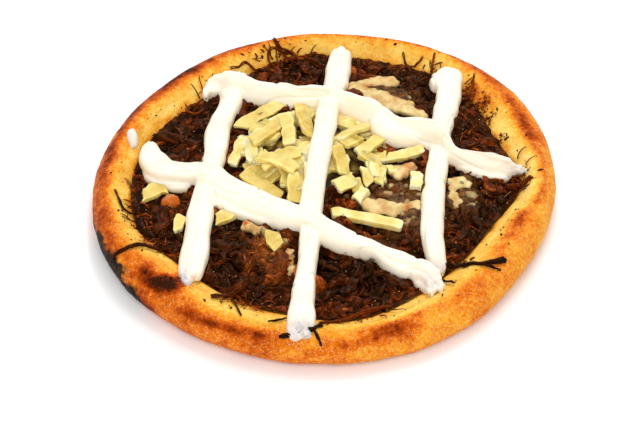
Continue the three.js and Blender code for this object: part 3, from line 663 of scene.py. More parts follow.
def beef_core():
    """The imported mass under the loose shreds, with a torn, fibrous top."""
    under = np.array(CORE_UNDERSIDE)
    top = np.maximum(1 - np.linspace(0, 1, CORE_RINGS) ** 1.25, 0.01)
    share = np.concatenate([under[:, 0], top])
    angle = circle(CORE_ANGLES)
    x, y = polar(filling_radius(angle) * share - np.concatenate([under[:, 1], 0.5 * top]), angle)
    heading = beef_heading(x, y) * 0.4
    along = x * np.cos(heading) + y * np.sin(heading)
    aside = y * np.cos(heading) - x * np.sin(heading) + 1.6 * noise(xyz(x, y), 5, 46)
    strands = 0.6 - 2 * np.abs(noise(xyz(along / 4, aside / 1.3), 1, 45))
    lumps = beef_lumps(x, y)
    rough = 0.42 * strands + 0.45 * noise(xyz(x, y), 1.1, 43)
    edge = smoothstep(1.0, 0.93, share)
    z = beef_top(x, y) - 0.1 + lumps + rough * (0.8 + 0.2 * edge)
    z[:, :len(under)] = under[:, 2]
    # The lumps and rough terms are painted shade: darker in the cavities, lighter on the raised fibres. The
    # noise and patches are the meat's own tone.
    tone = 0.2 + 0.22 * lumps + 0.34 * rough + 0.2 * noise(xyz(x, y), 3.6, 44) + patches(x, y, BEEF_TONES)
    # Painted light: the core is lighter towards its outer edge, where the rim's slope shades it.
    tone += (0.1 + 0.25 * noise(xyz(x, y), 1.6, 58)) * (1 - edge)
    return make_piece("beef_core", *lathe(xyz(x, y, z), tone=tone, film=patches(x, y, BEEF_FILM)))


def spread_out(count, random, jitter, inset=1.6):
    """Columns of places spread over the bare beef, clear of the heap and the melted cheese."""
    place = np.arange(count)[:, None]
    angle = place * GOLDEN_ANGLE
    x, y = polar((filling_radius(angle) - inset) * np.sqrt((place + 0.5) / count), angle)
    x = x + random.normal(0, jitter, x.shape)
    y = y + random.normal(0, jitter, y.shape)
    skinned = patches(x, y, [(*film[:4], 1) for film in MELTED_FILMS])
    bare = (heap_share(x, y) > HEAP_CLEARANCE) & (beyond_lobes(x, y) > LOBE_CLEARANCE)
    bare = bare & (skinned < random.uniform(0.3, 0.9, x.shape))
    return x[bare][:, None], y[bare][:, None]


def beyond_lobes(x, y):
    """Distance to the nearest edge of a lobe of melted cheese or of a loose bit of fresh cheese."""
    gaps = []
    for lobes in [*MELTED_CHEESE.values(), [piece[:3] for piece in LOOSE_CHEESE.values()]]:
        for (x0, y0), (x1, y1), half in lobes:
            run_x, run_y = x1 - x0, y1 - y0
            t = np.clip(((x - x0) * run_x + (y - y0) * run_y) / (run_x**2 + run_y**2), 0, 1)
            gaps.append(np.hypot(x - x0 - t * run_x, y - y0 - t * run_y) - half)
    return np.min(gaps, axis=0)


def pulled(x, y, radius_at, inset):
    """Places kept inset mm inside the beef's or the bread's edge."""
    limit = radius_at(np.arctan2(y, x)) - inset
    pull = np.minimum(1, limit / np.maximum(np.hypot(x, y), 1e-6))
    return x * pull, y * pull


def lying(x, y, heading, length, bow, tilt, lift, steps, wave):
    """Wavy paths (count, steps, 3) on the beef, kept inside its edge. The rest are columns."""
    t = np.linspace(-0.5, 0.5, steps)
    s = length * t
    order = np.arange(len(x))[:, None]
    side = bow * (1 - 4 * t**2) + wave * noise(xyz(s, order * 7.3), 2.2, 51)
    px = x + s * np.cos(heading) - side * np.sin(heading)
    py = y + s * np.sin(heading) + side * np.cos(heading)
    px, py = pulled(px, py, filling_radius, BEEF_MARGIN)
    pz = beef_top(px, py) + beef_lumps(px, py) + lift + tilt * s
    return xyz(px, py, pz + 0.5 * wave * noise(xyz(s, order * 3.1, 5), 1.8, 52))


def strewn(random, x, y, turn, sizes, bow, tilt, lift, steps, wave):
    """Paths lying at x and y, with their widths. sizes gives the columns of lengths and widths."""
    heading = beef_heading(x, y) + random.normal(0, turn, x.shape)
    length, width = sizes()
    bow, tilt = random.normal(0, bow, x.shape), random.normal(0, tilt, x.shape)
    paths = lying(x, y, heading, length, bow, tilt, random.uniform(*lift, x.shape), steps, wave)
    return paths, width


def beef_chunks():
    """Torn pieces of muscle: ridged along their length and frayed at both ends."""
    random = np.random.default_rng(7)
    x, y = spread_out(CHUNKS, random, 1.2)
    steps, sides = 12, 14

    def sizes():
        length = random.gamma(2.6, 1.2, x.shape) + 1.2
        return length, random.uniform(0.3, 1.25, x.shape) * np.interp(length, [2, 6], [0.75, 1.15])

    paths, width = strewn(random, x, y, 0.9, sizes, 0.8, 0.1, (-0.25, 0.65), steps, 0.5)
    t = np.linspace(-1, 1, steps)
    wide = width * np.sqrt(np.clip(1.02 - np.abs(t) ** 2.6, 0.02, 1))
    order, along, ring = np.indices((len(x), steps, sides))
    ridges = 1 + 0.5 * noise(xyz(order * 11.3, along * 0.45, ring * 1.3), 1, 53)
    ridges += random.normal(0, 0.08, ridges.shape)
    turn = random.normal(0, 0.4, x.shape) + random.normal(0, 0.5, x.shape) * t
    tone = beef_tone(random, x, y, 0.25, 0.14) + 0.12 * noise(paths, 1.4, 54)
    points, faces, spread = bars(
        paths, wide, 0.66 * wide, sides, 1, turn, ridges, tone=tone, film=beef_film(paths),
    )
    points = points + 0.28 * shaken(points, 0.85, 56, 30)
    # The ridges term is painted shade: lighter on the ridges, darker in the grooves between them. The noise
    # is the meat's own tone.
    spread["tone"] += 0.4 * (ridges.ravel() - 1) + 0.2 * noise(points, 0.8, 57)
    return make_piece("beef_chunks", points, faces, spread)


def beef_strips():
    """Longer strips of muscle that bend over the clumps, with their fibres as grooves."""
    random = np.random.default_rng(6)
    x, y = spread_out(STRIPS, random, 2, 5)
    steps, sides = 27, 24

    def sizes():
        length = np.minimum(random.uniform(6, 15, x.shape), 3 + 1.6 * inside_by(x, y))
        return length, random.uniform(1, 2.1, x.shape)

    paths, width = strewn(random, x, y, 0.8, sizes, 1.6, 0.03, (-0.35, 0.45), steps, 1.0)
    t = np.linspace(-1, 1, steps)
    order, along, ring = np.indices((len(x), steps, sides))
    around_it = TURN * ring / sides
    place = xyz(order * 17.7 + along * 0.16, *polar(3.4, around_it))
    fray = noise(xyz(order * 5.3, *polar(4, around_it)), 1, 47)
    ends = np.clip((1 + 0.35 * fray - np.abs(t)[:, None]) / 0.3, 0.06, 1)
    ridges = (1 + 0.34 * noise(place, 1, 48) + 0.2 * noise(place * 2, 1, 49)) * np.sqrt(ends)
    turn = random.normal(0, 0.3, x.shape) + random.normal(0, 0.4, x.shape) * t
    tone = beef_tone(random, x, y, 0.3, 0.12)
    points, faces, spread = bars(
        paths, width, 0.5 * width, sides, 1, turn, ridges, tone=tone, film=beef_film(paths),
    )
    # The ridges term is painted shade: darker in the fibre grooves and where the frayed ends narrow. The
    # noise is the meat's own tone.
    spread["tone"] += 0.5 * (ridges.ravel() - 0.9) + 0.14 * noise(points, 1.2, 50)
    return make_piece("beef_strips", points, faces, spread)


def beef_bundles():
    """Shreds of muscle: thin fibres side by side that bend together and fray at their ends."""
    random = np.random.default_rng(8)
    x, y = spread_out(BUNDLES, random, 1.3)
    one, each, steps = x.shape, (len(x), FIBRES_IN_BUNDLE), 7
    u = np.linspace(-1, 1, FIBRES_IN_BUNDLE) + random.normal(0, 0.2, each)
    aside = u * random.uniform(0.4, 1.2, one)
    heading = beef_heading(x, y) + random.normal(0, 0.9, one)
    length = (random.gamma(5, 0.9, one) + 1.5) * random.uniform(0.5, 1.1, each)
    slide = random.normal(0, 0.14, each) * length
    px = x - np.sin(heading) * aside + np.cos(heading) * slide
    py = y + np.cos(heading) * aside + np.sin(heading) * slide
    heading = heading + random.normal(0, 0.1, each)
    bow = random.normal(0, 0.7, one) + random.normal(0, 0.12, each)
    tilt = random.normal(0, 0.1, one) + random.normal(0, 0.03, each)
    lift = random.uniform(-0.3, 0.5, one) + 0.5 * (1 - u**2) + random.normal(0, 0.1, each)
    columns = [values.reshape(-1, 1) for values in (px, py, heading, length, bow, tilt, lift)]
    paths = lying(*columns, steps, 0.45)
    thick = random.uniform(0.09, 0.24, (px.size, 1)) * (1 - 0.45 * np.linspace(-1, 1, steps) ** 2)
    tone = beef_tone(random, x, y, 0.26, 0.13) + random.normal(0, 0.09, each)
    tone = tone.reshape(-1, 1) + 0.25 * noise(paths, 1.2, 55)
    return make_piece("beef_bundles", *bars(paths, thick, thick, 4, tone=tone, film=beef_film(paths)))


def beef_fibres():
    """Single fibres that came loose from the chunks."""
    random = np.random.default_rng(9)
    x, y = spread_out(FIBRES, random, 1.5)
    steps = 8

    def sizes():
        return random.gamma(3, 0.8, x.shape) + 0.8, None

    paths, _ = strewn(random, x, y, 1.1, sizes, 0.5, 0.2, (-0.1, 0.7), steps, 0.8)
    thick = random.uniform(0.06, 0.16, x.shape) * (1 - 0.4 * np.linspace(-1, 1, steps) ** 2)
    tone = beef_tone(random, x, y, 0.28, 0.13)
    tone = tone + 0.5 * (random.uniform(0, 1, x.shape) < 0.03)
    return make_piece("beef_fibres", *bars(paths, 1.4 * thick, thick, 4, tone=tone, film=beef_film(paths)))


# Strands that stray over the rim: points from the beef outwards, half thickness, and tone.
STRANDS = [
    ([(-41, -28), (-45, -26.7), (-49, -27.5), (-53, -29.6), (-57, -30.6)], 0.5, 0.24),
    ([(-52, -13), (-55, -12.5), (-56.3, -9.6), (-57.6, -6.5)], 0.4, 0.2),
    ([(31.5, -33.8), (36, -33.6), (38.6, -34.4), (41.6, -35.6), (44.6, -34.8), (47.8, -33.4)], 0.6, 0.02),
    ([(41.2, -35.4), (44.4, -36.6), (46.6, -37.2)], 0.4, 0.02),
    ([(43.6, -35.1), (46.6, -34.4), (48.2, -33.8)], 0.65, 0.0),
    ([(17, -48.4), (10, -51), (4, -54), (-1.5, -56.4)], 0.5, 0.42),
    ([(-1, -57.4), (-4, -59.6), (-8, -60.8), (-12, -61)], 0.62, 0.08),
    ([(-3, -59.4), (-1.8, -61.6), (-1, -63.2)], 0.4, 0.16),
    ([(-25.9, -38.8), (-24.4, -45.4), (-23.4, -50), (-21.9, -54.5)], 0.36, 0.26),
    ([(-22, -43), (-26, -45), (-29.8, -47.6)], 0.75, 0.32),
    ([(-9, 51), (-9, 54.3), (-12.9, 54.3), (-14.9, 56.8)], 0.5, 0.4),
    ([(24.8, 46), (23.6, 50), (22.8, 53.2)], 0.4, 0.44),
    ([(24.4, 48.5), (27.2, 50), (28.6, 51)], 0.34, 0.44),
    ([(30.6, 44.6), (31.2, 48), (32, 51.2)], 0.42, 0.5),
    ([(42, 34), (42.4, 38.5), (43.2, 42)], 0.34, 0.5),
    ([(50, -3.5), (54, -2), (56.6, 0)], 0.7, 0.4),
    ([(28.9, -35.7), (31.4, -39.2), (34.2, -42.1)], 0.42, 0.12),
    ([(-14.9, -56.5), (-12, -55.6), (-9.9, -54)], 0.3, 0.2),
    ([(-13, 49.4), (-16.4, 51.4), (-15.4, 54), (-12, 53.6), (-9.4, 51)], 0.42, 0.5),
    ([(-2, 50), (-5.6, 52.8), (-3, 55.2), (0.4, 53)], 0.4, 0.5),
    ([(-19, 47), (-22.6, 48.6), (-25, 46.8), (-27.4, 45.6)], 0.34, 0.46),
    ([(-34.6, 31), (-38.4, 32), (-39.4, 28.6), (-36.4, 27), (-34.6, 29.4)], 0.42, 0.52),
]
STRAND_STEPS = 22
THICK_STRAND = 0.45  # half thickness above which a strand has five fibres instead of three
LOOSE_FIBRES = 550
EDGE_FIBRES = 150  # how many of them lie along the beef's edge
LOOSE_STEPS = 12
LOOSE_MARGIN = 5.5  # how far inside the bread's edge they stay
# Ragged tufts on the rim's inner slope: x, y, half size and number of fibres.
TUFTS = [
    (41.4, 37.4, 1, 30), (45, 31, 1.2, 30), (47, 26, 1, 22), (31.4, 47.6, 0.9, 20), (12, 50, 1.6, 14),
    (50, 17, 1, 10), (53.2, -2, 1.7, 40), (-24.6, -46.6, 2.2, 30), (-13, 50.6, 2.4, 26),
    (-48, -17, 1.8, 20), (43.4, 33.6, 1.4, 20), (-38.4, 31, 1.6, 14), (-50.4, -4, 1, 12),
    (36.6, -33, 1.4, 12),
]
# Where loose fibres crowd over the rim's inner slope: angle in degrees and half width.
FRINGES = [(2, 5), (42, 4), (104, 6), (131, 4), (192, 14), (209, 3), (247, 5), (282, 6)]


def stray_strands():
    """Each strand is a twisted cord of a few fibres."""
    random = np.random.default_rng(13)
    t = np.linspace(0, 1, STRAND_STEPS)
    parts = []
    for route, half, tone in STRANDS:
        path = smooth_path(route, STRAND_STEPS)
        ahead = unit(np.gradient(path, axis=0))
        left = np.stack([-ahead[:, 1], ahead[:, 0]], axis=1)
        fibres = 5 if half > THICK_STRAND else 3
        phase = TURN * np.arange(fibres) / fibres + random.uniform(0, 6)
        twist = phase[:, None] + t * random.uniform(3, 7)
        spread = 0.5 * half * (1 + 0.7 * noise(xyz(t * 9, half * 50), 1, 61))
        x, y = np.moveaxis(path + left * (np.cos(twist) * spread)[..., None], -1, 0)
        bumps = 0.12 * noise(xyz(x, y), 1.2, 62) + 0.8 * smoothstep(0, 2, inside_by(x, y))
        z = over(x, y) + 0.75 * half + np.sin(twist) * spread + bumps
        size = 0.58 * half * (1 - 0.45 * t**3) * random.uniform(0.75, 1.15, (fibres, 1))
        tones = tone + random.normal(0, 0.06, (fibres, 1))
        parts.append(bars(xyz(x, y, z), size, size, tone=tones, film=0))
    return parts


def loose_fibres():
    """Thin curling fibres over the beef, and crowded along parts of its edge."""
    random = np.random.default_rng(29)
    every, edge = (LOOSE_FIBRES, 1), (EDGE_FIBRES, 1)
    angle = random.uniform(0, TURN, every)
    fringe = np.array(FRINGES, float)[random.integers(0, len(FRINGES), EDGE_FIBRES)]
    crowd = fringe[:, :1] + fringe[:, 1:] * random.normal(0, 0.6, edge)
    angle[:EDGE_FIBRES] = np.radians(crowd)
    reach = np.sqrt(random.uniform(0.02, 0.98, every))
    reach[:EDGE_FIBRES] = random.uniform(0.95, 1.03, edge)
    x, y = polar(filling_radius(angle) * reach, angle)
    length = random.uniform(2, 6, every)
    length[:EDGE_FIBRES] = random.uniform(1.2, 4.6, edge)
    start = EDGE_FIBRES
    for px, py, half, number in TUFTS:
        tuft = slice(start, start + number)
        x[tuft] = random.normal(px, half, (number, 1))
        y[tuft] = random.normal(py, half, (number, 1))
        length[tuft] = random.uniform(0.4, 1.4, (number, 1))
        start += number
    t = np.linspace(0, 1, LOOSE_STEPS)
    s = length * t
    way = random.uniform(0, TURN, every)
    way = way + random.normal(0, 0.22, every) * s
    way = way + random.normal(0, 0.05, every) * s**2
    step = length / (LOOSE_STEPS - 1)
    x, y = (start_at + np.cumsum(run, axis=1) for start_at, run in zip((x, y), polar(step, way)))
    x, y = pulled(x, y, outer_radius, LOOSE_MARGIN)
    thick = random.uniform(0.12, 0.26, every)
    thick[EDGE_FIBRES:start] *= random.uniform(0.6, 1.4, (start - EDGE_FIBRES, 1))
    rise = random.uniform(0, 0.4, every) * np.sin(np.pi * t)
    z = over(x, y) + thick + rise + np.where(inside_by(x, y) > 1, 0.55, 0.05)
    tones = random.normal(0.48, 0.13, every)
    tones[start:] -= 0.2
    kept = (heap_share(x, y).min(axis=1) > 1) & (beyond_lobes(x, y).min(axis=1) > -0.3)
    size = (thick * (1 - 0.5 * t**2))[kept]
    return bars(xyz(x, y, z)[kept], size, size, 4, tone=tones[kept], film=0)


def fat_droplets():
    """Tiny beads of fat between the fibres; their pale colour is partly a painted highlight that stands in
    for glints.
    """
    random = np.random.default_rng(31)
    x, y = spread_out(DROPLETS, random, 2)
    size = random.uniform(0.07, 0.15, x.shape)
    t = np.linspace(-1, 1, 5)
    z = beef_top(x, y) + beef_lumps(x, y) + random.uniform(0.3, 0.9, x.shape)
    thick = size * np.sqrt(1.04 - t**2)
    return make_piece("fat_droplets", *bars(xyz(x + size * t, y, z), thick, thick))


def droplet_material():
    mat = Shader("fat")
    # The pale base colour is partly a painted highlight, for the glints of wet meat.
    mat.set(Base_Color=(226, 172, 104), Roughness=0.2, Specular_IOR_Level=0.5)
    return mat.material


def build_beef():
    dress(fat_droplets(), droplet_material(), "beef")
    material = beef_material()
    strays = make_piece("beef_stray_strands", *joined(stray_strands() + [loose_fibres()]))
    for piece in (beef_core(), beef_strips(), beef_chunks(), beef_bundles(), beef_fibres(), strays):
        dress(piece, material, "beef", "beef_filling")


# ---- Grated cheese ----

# The shreds of the heap that show most: x and y of both ends.
HEAP_SHREDS = [
    (-23.8, 19.9, -11.9, 30.6), (-25.7, 3.8, -22.7, 13.9), (-20.7, 9, -12.8, 18.9), (-11.8, 22, -9.8, 6.5),
    (-6.9, 29.4, -3.9, 9.2), (-16.7, -2.3, -6.9, 2.6), (-22.7, -1.4, -11.9, -10.7), (-8.8, -5.1, -8.4, -12.3),
    (-3.9, -2.2, -4, -10.6), (-18.7, 1.6, -7.9, -4.4), (3.9, 8.6, 14.8, 20.3), (4.9, 6, 9.8, 10.9),
    (2.9, 3.6, 4.9, -3.9), (8.8, 4.8, 15.8, 14.3), (16.8, 6.5, 27.8, 11), (11.8, 3.7, 13.9, -1.4),
    (15.3, 2.5, 14.9, -3.3), (2.9, -7.8, 7.9, -4.3),
]
# Small broken bits of cheese on the heap: x and y of both ends, and half width.
CHEESE_CRUMBS = [
    (9.8, 5, 15.4, 3.6, 1.8), (13.4, 1.6, 13.8, -2.4, 1.3), (11, 0.4, 12.2, -4.6, 1.5),
    (15.8, 0.6, 14.6, -5, 1.5), (8, -4.4, 9.8, -7.6, 1.5), (17.4, 3, 18.8, 0.2, 1.1),
]
SCATTERED_SHREDS = 54
SHRED_HALF_WIDTH = 1.95
SHRED_HALF_THICKNESS = 0.72
SHRED_STEPS = np.array([
    0, 0.012, 0.05, 0.1, 0.18, 0.27, 0.36, 0.45, 0.55, 0.64, 0.73, 0.82, 0.9, 0.95, 0.988, 1,
])
SHRED_TAPER = [0, 0.012, 0.05, 0.12, 0.88, 0.95, 0.988, 1], [0.62, 0.84, 0.95, 1, 1, 0.95, 0.84, 0.62]
SHRED_SIDES = 20
HEAP_ANGLES, HEAP_RINGS, HEAP_CORE_SHARE = 90, 26, 0.93
SHRED_CREASE = 34  # degrees, above which an edge of a shred is sharp
PILE_REACH, PILE_CELL = 27, 0.6  # the square round the heap that shreds are piled in, and its cells
PILE_REST = 62  # the share in percent of what lies under a shred that it rests above
# How far below and above the heap's plain form the tops of the lower and the showing shreds lie.
LOWER_SHREDS = (-6, -0.3)
SHOWING_SHREDS = (0, 2)
# Loose pieces of the same cheese on the beef: both ends, half width, half thickness and raggedness.
LOOSE_CHEESE = {
    "cheese_shred_right": ((19.6, 7.4), (27, 10.6), 1.8, 0.8, 0.3),
    "cheese_long_shred": ((1.6, -15.2), (20.8, -20.6), 1.7, 1.05, 0.15),
    "cheese_bit_left": ((-50, -6.8), (-43.6, -3.4), 2.3, 0.75, 0.5),
    "cheese_bit_by_left_rib": ((-29.8, -17.6), (-24.4, -14.4), 2.2, 0.8, 0.5),
    "cheese_bit_outside_left_rib": ((-39.6, -20.8), (-39, -15.4), 1.5, 0.8, 0.5),
    "cheese_bit_middle": ((8.6, -11.6), (11.2, -8), 1.5, 1.2, 0.5),
    "cheese_bit_right": ((24.6, -6.6), (25.2, -0.4), 1.6, 1.3, 0.5),
    "cheese_bit_front": ((-14.4, -22.6), (-12.2, -28.8), 1.9, 0.95, 0.4),
}
# How much lighter than the heap the loose pieces are, and those that differ.
LOOSE_TONE = 0.18
# cheese_bit_front is darker: the shadow of the cream band over it is painted on.
LOOSE_TONES = {"cheese_bit_front": -0.08, "cheese_shred_right": 0.05}
LOOSE_SINK = 0.15


def cheese_material():
    mat = Shader("grated_cheese")
    shade = mat.math("ADD", mat.attribute("tone"), mat.swing(mat.noise(2.4), 0.5), clamp=True)
    mat.set(Base_Color=mat.ramp(shade, [
        # The darkest stop colours the heap's core: beef brown darkened as painted shade between the shreds.
        (0, 58, 30, 8), (0.22, 200, 168, 64), (0.6, 234, 211, 126), (1, 248, 239, 202),
    ]))
    mat.set(Roughness=0.46, Specular_IOR_Level=0.4)
    mat.set(Subsurface_Weight=0.5, Subsurface_Radius=(1.8, 1.5, 0.7), Subsurface_Scale=MM)
    mat.set(Normal=mat.bump(mat.noise(0.8, 3, 0.6), 0.12))
    return mat.material


def shreds(starts, stops, widths, thicknesses, rolls, random, seed, ragged):
    """Grated shreds: four-cornered bars with rough edges, a bow, a twist and torn ends."""
    count, t = len(starts), SHRED_STEPS
    one = (count, 1)
    chord = stops - starts
    length = np.linalg.norm(chord, axis=1, keepdims=True)
    left = xyz(-chord[:, 1], chord[:, 0]) / length
    bend = 4 * t * (1 - t) * length
    paths = starts[:, None] + chord[:, None] * t[:, None]
    paths = paths + left[:, None] * (bend * random.normal(0, 0.045, one))[..., None]
    paths[..., 2] += bend * random.normal(0.01, 0.02, one)
    along = xyz(t * length, np.arange(count)[:, None] * 9.1)
    taper = np.interp(t, *SHRED_TAPER)
    width = widths * taper * (1 + (0.08 + 0.2 * ragged) * noise(along, 1.8, seed))
    height = thicknesses * taper * (1 + 0.14 * noise(along, 2.8, seed + 1))
    turn = rolls + random.normal(0, 0.25, one) * (t - 0.5)
    tone = random.uniform(0.34, 0.72, one)
    points, faces, spread = bars(paths, width, height, SHRED_SIDES, 0.24, turn, tone=tone)
    grid = points.reshape(count, len(t), SHRED_SIDES, 3)
    across = ((grid - paths[:, :, None]) * left[:, None, None]).sum(-1)
    slant = random.normal(0, 0.32, (count, 2)) @ np.stack([(1 - t) ** 6, t**6])
    near_end = np.abs(2 * t - 1)[:, None]
    rough = noise(across[..., None] * [1, 0, 0] + along[:, :, None], 1.1, seed + 3)
    torn = across * slant[..., None] + 0.7 * rough * near_end**7
    points = (grid + (chord / length)[:, None, None] * torn[..., None]).reshape(-1, 3)
    points = points + 0.05 * shaken(points, 0.8, seed + 2, 40)
    points = points + ragged * shaken(points, 1.5, seed + 5, 40) * [0.7, 0.7, 0.25]
    # Each shred's corners and torn ends are painted lighter: a painted highlight for the bright glow along
    # its edges.
    corner = np.abs(polar(1, 2 * TURN * (np.arange(SHRED_SIDES) + 0.5) / SHRED_SIDES)[1])
    edges = np.tile((corner + near_end**5).ravel(), count)
    spread["tone"] += 0.18 * (edges - 0.7) + 0.2 * noise(points, 1.8, seed + 4)
    return points, faces, spread


def heap_core():
    """The mass under the heap's shreds, coloured as beef darkened by painted shade in their gaps."""
    share = np.linspace(HEAP_CORE_SHARE, 0.02, HEAP_RINGS)
    share = np.concatenate([[0.02, HEAP_CORE_SHARE], share])
    x, y = polar(share, circle(HEAP_ANGLES))
    x, y = HEAP_X + HEAP_RX * x, HEAP_Y + HEAP_RY * y
    z = heap_top(x, y) - HEAP_COVER + 0.6 * noise(xyz(x, y), 3, 71)
    z = np.maximum(z, beef_top(x, y) - 0.5)
    z[:, :2] = beef_top(x, y)[:, :2] - 0.9
    # A tone near 0 gives the core the painted shade colour.
    return lathe(xyz(x, y, z), tone=0.02 + 0.1 * noise(xyz(x, y, z), 4, 72))


def piled(ends, half_width, thickness, limits):
    """Heights of both ends of shreds (shreds, 2, 2) that are laid one on another over the heap."""
    side = np.arange(-PILE_REACH, PILE_REACH, PILE_CELL)
    x, y = np.meshgrid(HEAP_X + side, HEAP_Y + side, indexing="ij")
    level = np.maximum(heap_top(x, y) - HEAP_COVER, beef_top(x, y) + 0.2)
    heights = []
    for (start, stop), limit in zip(ends, limits):
        run = stop - start
        length = np.hypot(*run)
        along = ((x - start[0]) * run[0] + (y - start[1]) * run[1]) / length**2 - 0.5
        aside = ((x - start[0]) * run[1] - (y - start[1]) * run[0]) / length
        under = (np.abs(along) < 0.5) & (np.abs(aside) < half_width)
        below, place = level[under], along[under]
        slope = (place * (below - below.mean())).sum() / (place**2).sum()
        rest = np.percentile(below - slope * place, PILE_REST)
        both = rest + slope * np.array([-0.5, 0.5])
        plain = heap_top(*np.stack([start, stop], axis=1)) - 2 * thickness
        both = np.clip(both, plain + limit[0], plain + limit[1])
        line = both.mean() + (both[1] - both[0]) * along
        level = np.where(under, np.maximum(level, line + 2 * thickness), level)
        heights.append(both + thickness)
    return np.array(heights)


def scattered_shreds(random):
    """Ends (shreds, 2, 2) of the shreds that lie deeper in the heap, in all directions."""
    spot = np.arange(SCATTERED_SHREDS)[:, None]
    reach = np.sqrt((spot * GOLDEN_SHARE) % 1) * 0.92
    x, y = polar(reach, spot * GOLDEN_ANGLE)
    middle = np.concatenate([HEAP_X + HEAP_RX * x, HEAP_Y + HEAP_RY * y], axis=1)
    heading = random.uniform(0, np.pi, spot.shape)
    half = random.uniform(5, 8.2, spot.shape) * (1 - 0.3 * reach)
    half = np.concatenate(polar(half, heading), axis=1)
    return np.stack([middle - half, middle + half], axis=1)


def dress_cheese(name, shape, material, node):
    piece = make_piece(name, *shape)
    piece.data.set_sharp_from_angle(angle=math.radians(SHRED_CREASE))
    dress(piece, material, "fresh_cheese", node)


def build_cheese():
    material = cheese_material()
    random = np.random.default_rng(17)
    showing, crumbs = np.array(HEAP_SHREDS), np.array(CHEESE_CRUMBS)
    ends = [values.reshape(-1, 2, 2) for values in (scattered_shreds(random), showing, crumbs[:, :4])]
    ends = np.concatenate(ends)
    limits = [LOWER_SHREDS] * SCATTERED_SHREDS + [SHOWING_SHREDS] * (len(showing) + len(crumbs))
    heights = piled(ends, SHRED_HALF_WIDTH - 0.3, SHRED_HALF_THICKNESS, limits)
    starts, stops = np.moveaxis(np.concatenate([ends, heights[..., None]], axis=-1), 1, 0)
    one = (len(ends), 1)
    widths = random.normal(SHRED_HALF_WIDTH, 0.2, one)
    widths[-len(crumbs):] = crumbs[:, 4:]
    thicknesses = random.normal(SHRED_HALF_THICKNESS, 0.07, one)
    rolls = random.normal(0, 0.14, one)
    strewn_shreds = shreds(starts, stops, widths, thicknesses, rolls, random, 81, 0.45)
    dress_cheese("grated_cheese", joined([heap_core(), strewn_shreds]), material, "grated_cheese_heap")
    for order, (name, (*both, wide, thick, ragged)) in enumerate(LOOSE_CHEESE.items()):
        x, y = np.array(both, float).T
        starts, stops = xyz(x, y, support(x, y) + thick - LOOSE_SINK)[:, None]
        shape = shreds(starts, stops, wide, thick, 0.0, random, 90 + 3 * order, ragged)
        shape[2]["tone"] += LOOSE_TONES.get(name, LOOSE_TONE)
        dress_cheese(name + "_piece", shape, material, name)


# ---- Melted cheese ----

# Patches of melted cheese, each made of lobes: both ends and half width.
MELTED_CHEESE = {
    "melted_cheese_back": [
        ((7.6, 39), (19.4, 42), 2.2), ((8, 37.6), (23.6, 30.2), 2.3), ((16, 30.4), (27.6, 26.2), 2.2),
        ((12, 33), (20, 32), 1.8),
    ],
    "melted_cheese_middle": [((11.6, -11.4), (19.6, -13.6), 2.3), ((18.4, -13.4), (25.4, -10.8), 1.8)],
    "melted_cheese_by_right_rib": [((19, 0.2), (24.4, 3.6), 1.9)],
    "melted_cheese_right": [((34.6, -1.2), (39.6, -3.2), 1.8), ((34.6, -2.4), (36.4, -11.4), 1.5)],
    "melted_cheese_left": [((-43.1, -9.3), (-41.9, -9.5), 2.9)],
    "melted_cheese_front": [((-21.6, -19.6), (-17.6, -22.4), 1.7)],
    "melted_cheese_by_middle_rib": [((-9.6, -28.4), (-9.4, -37.6), 1.1)],
}
# How high a patch's mounds are for their width, and how browned it is, where not as the rest.
MELTED_RISE = {"melted_cheese_left": 1}
USUAL_RISE = 0.66
MELTED_TOAST = {
    "melted_cheese_left": 3.2, "melted_cheese_front": 1, "melted_cheese_by_middle_rib": 0.9,
    "melted_cheese_back": 0.6, "melted_cheese_by_right_rib": 0.7, "melted_cheese_middle": 0.5,
}
USUAL_TOAST = 0.36
# Thin skins of fat round the melted cheese: x, y, half sizes, and number of small mounds.
MELTED_FILMS = [
    (20, -9, 7.5, 6, 46), (37.5, -6.5, 3.4, 6.5, 26), (16, 33.5, 7.5, 5, 30), (24, -17.5, 5, 2.4, 12),
    (-13.5, -27, 3, 6, 14),
]
FILM_RISE = 0.22
FILM_VOXEL, MELTED_VOXEL, MELTED_PASSES = 0.36, 0.32, 3
MOUND_ANGLES, MOUND_RINGS = 16, 9


def melted_material():
    mat = Shader("melted_cheese")
    spots = mat.math("MULTIPLY", mat.span(mat.noise(2.6), 0.46, 0.64), 0.8)
    freckles = mat.span(mat.noise(0.9), 0.6, 0.75, 0, 0.6)
    browned = mat.span(mat.math("MAXIMUM", spots, freckles), 0, 1, 0.25, 1)
    toasting = mat.math("MULTIPLY", browned, mat.attribute("toast"), clamp=True)
    colour = mat.ramp(mat.noise(3.5), [(0.3, 196, 170, 104), (0.6, 232, 212, 152)])
    colour = mat.mix(toasting, colour, (186, 90, 26))
    stained = mat.ramp(mat.noise(1.8, 3, 0.6), [(0.36, 42, 18, 5), (0.5, 80, 45, 16), (0.66, 120, 78, 34)])
    mat.set(Base_Color=mat.mix(mat.attribute("thin"), colour, stained))
    mat.set(Roughness=0.22, Specular_IOR_Level=0.14, Specular_Tint=(255, 214, 150))
    mat.set(Subsurface_Weight=0.15, Subsurface_Radius=(1.4, 1.0, 0.6), Subsurface_Scale=MM)
    mat.set(Normal=mat.bump(mat.noise(0.9), 0.2))
    return mat.material


def melted_lobe(start, stop, half, random):
    """A lumpy low ridge of small mounds (count, 3): x, y and radius."""
    start, stop = np.array(start), np.array(stop)
    length = np.linalg.norm(stop - start)
    count = int(8 + 3.6 * length)
    left = np.array([start[1] - stop[1], stop[0] - start[0]]) / length
    middle = start + (stop - start) * np.linspace(0, 1, count)[:, None]
    middle = middle + left * random.normal(0, 0.28, (count, 1)) * half
    return np.column_stack([middle, half * random.uniform(0.5, 0.92, count)])


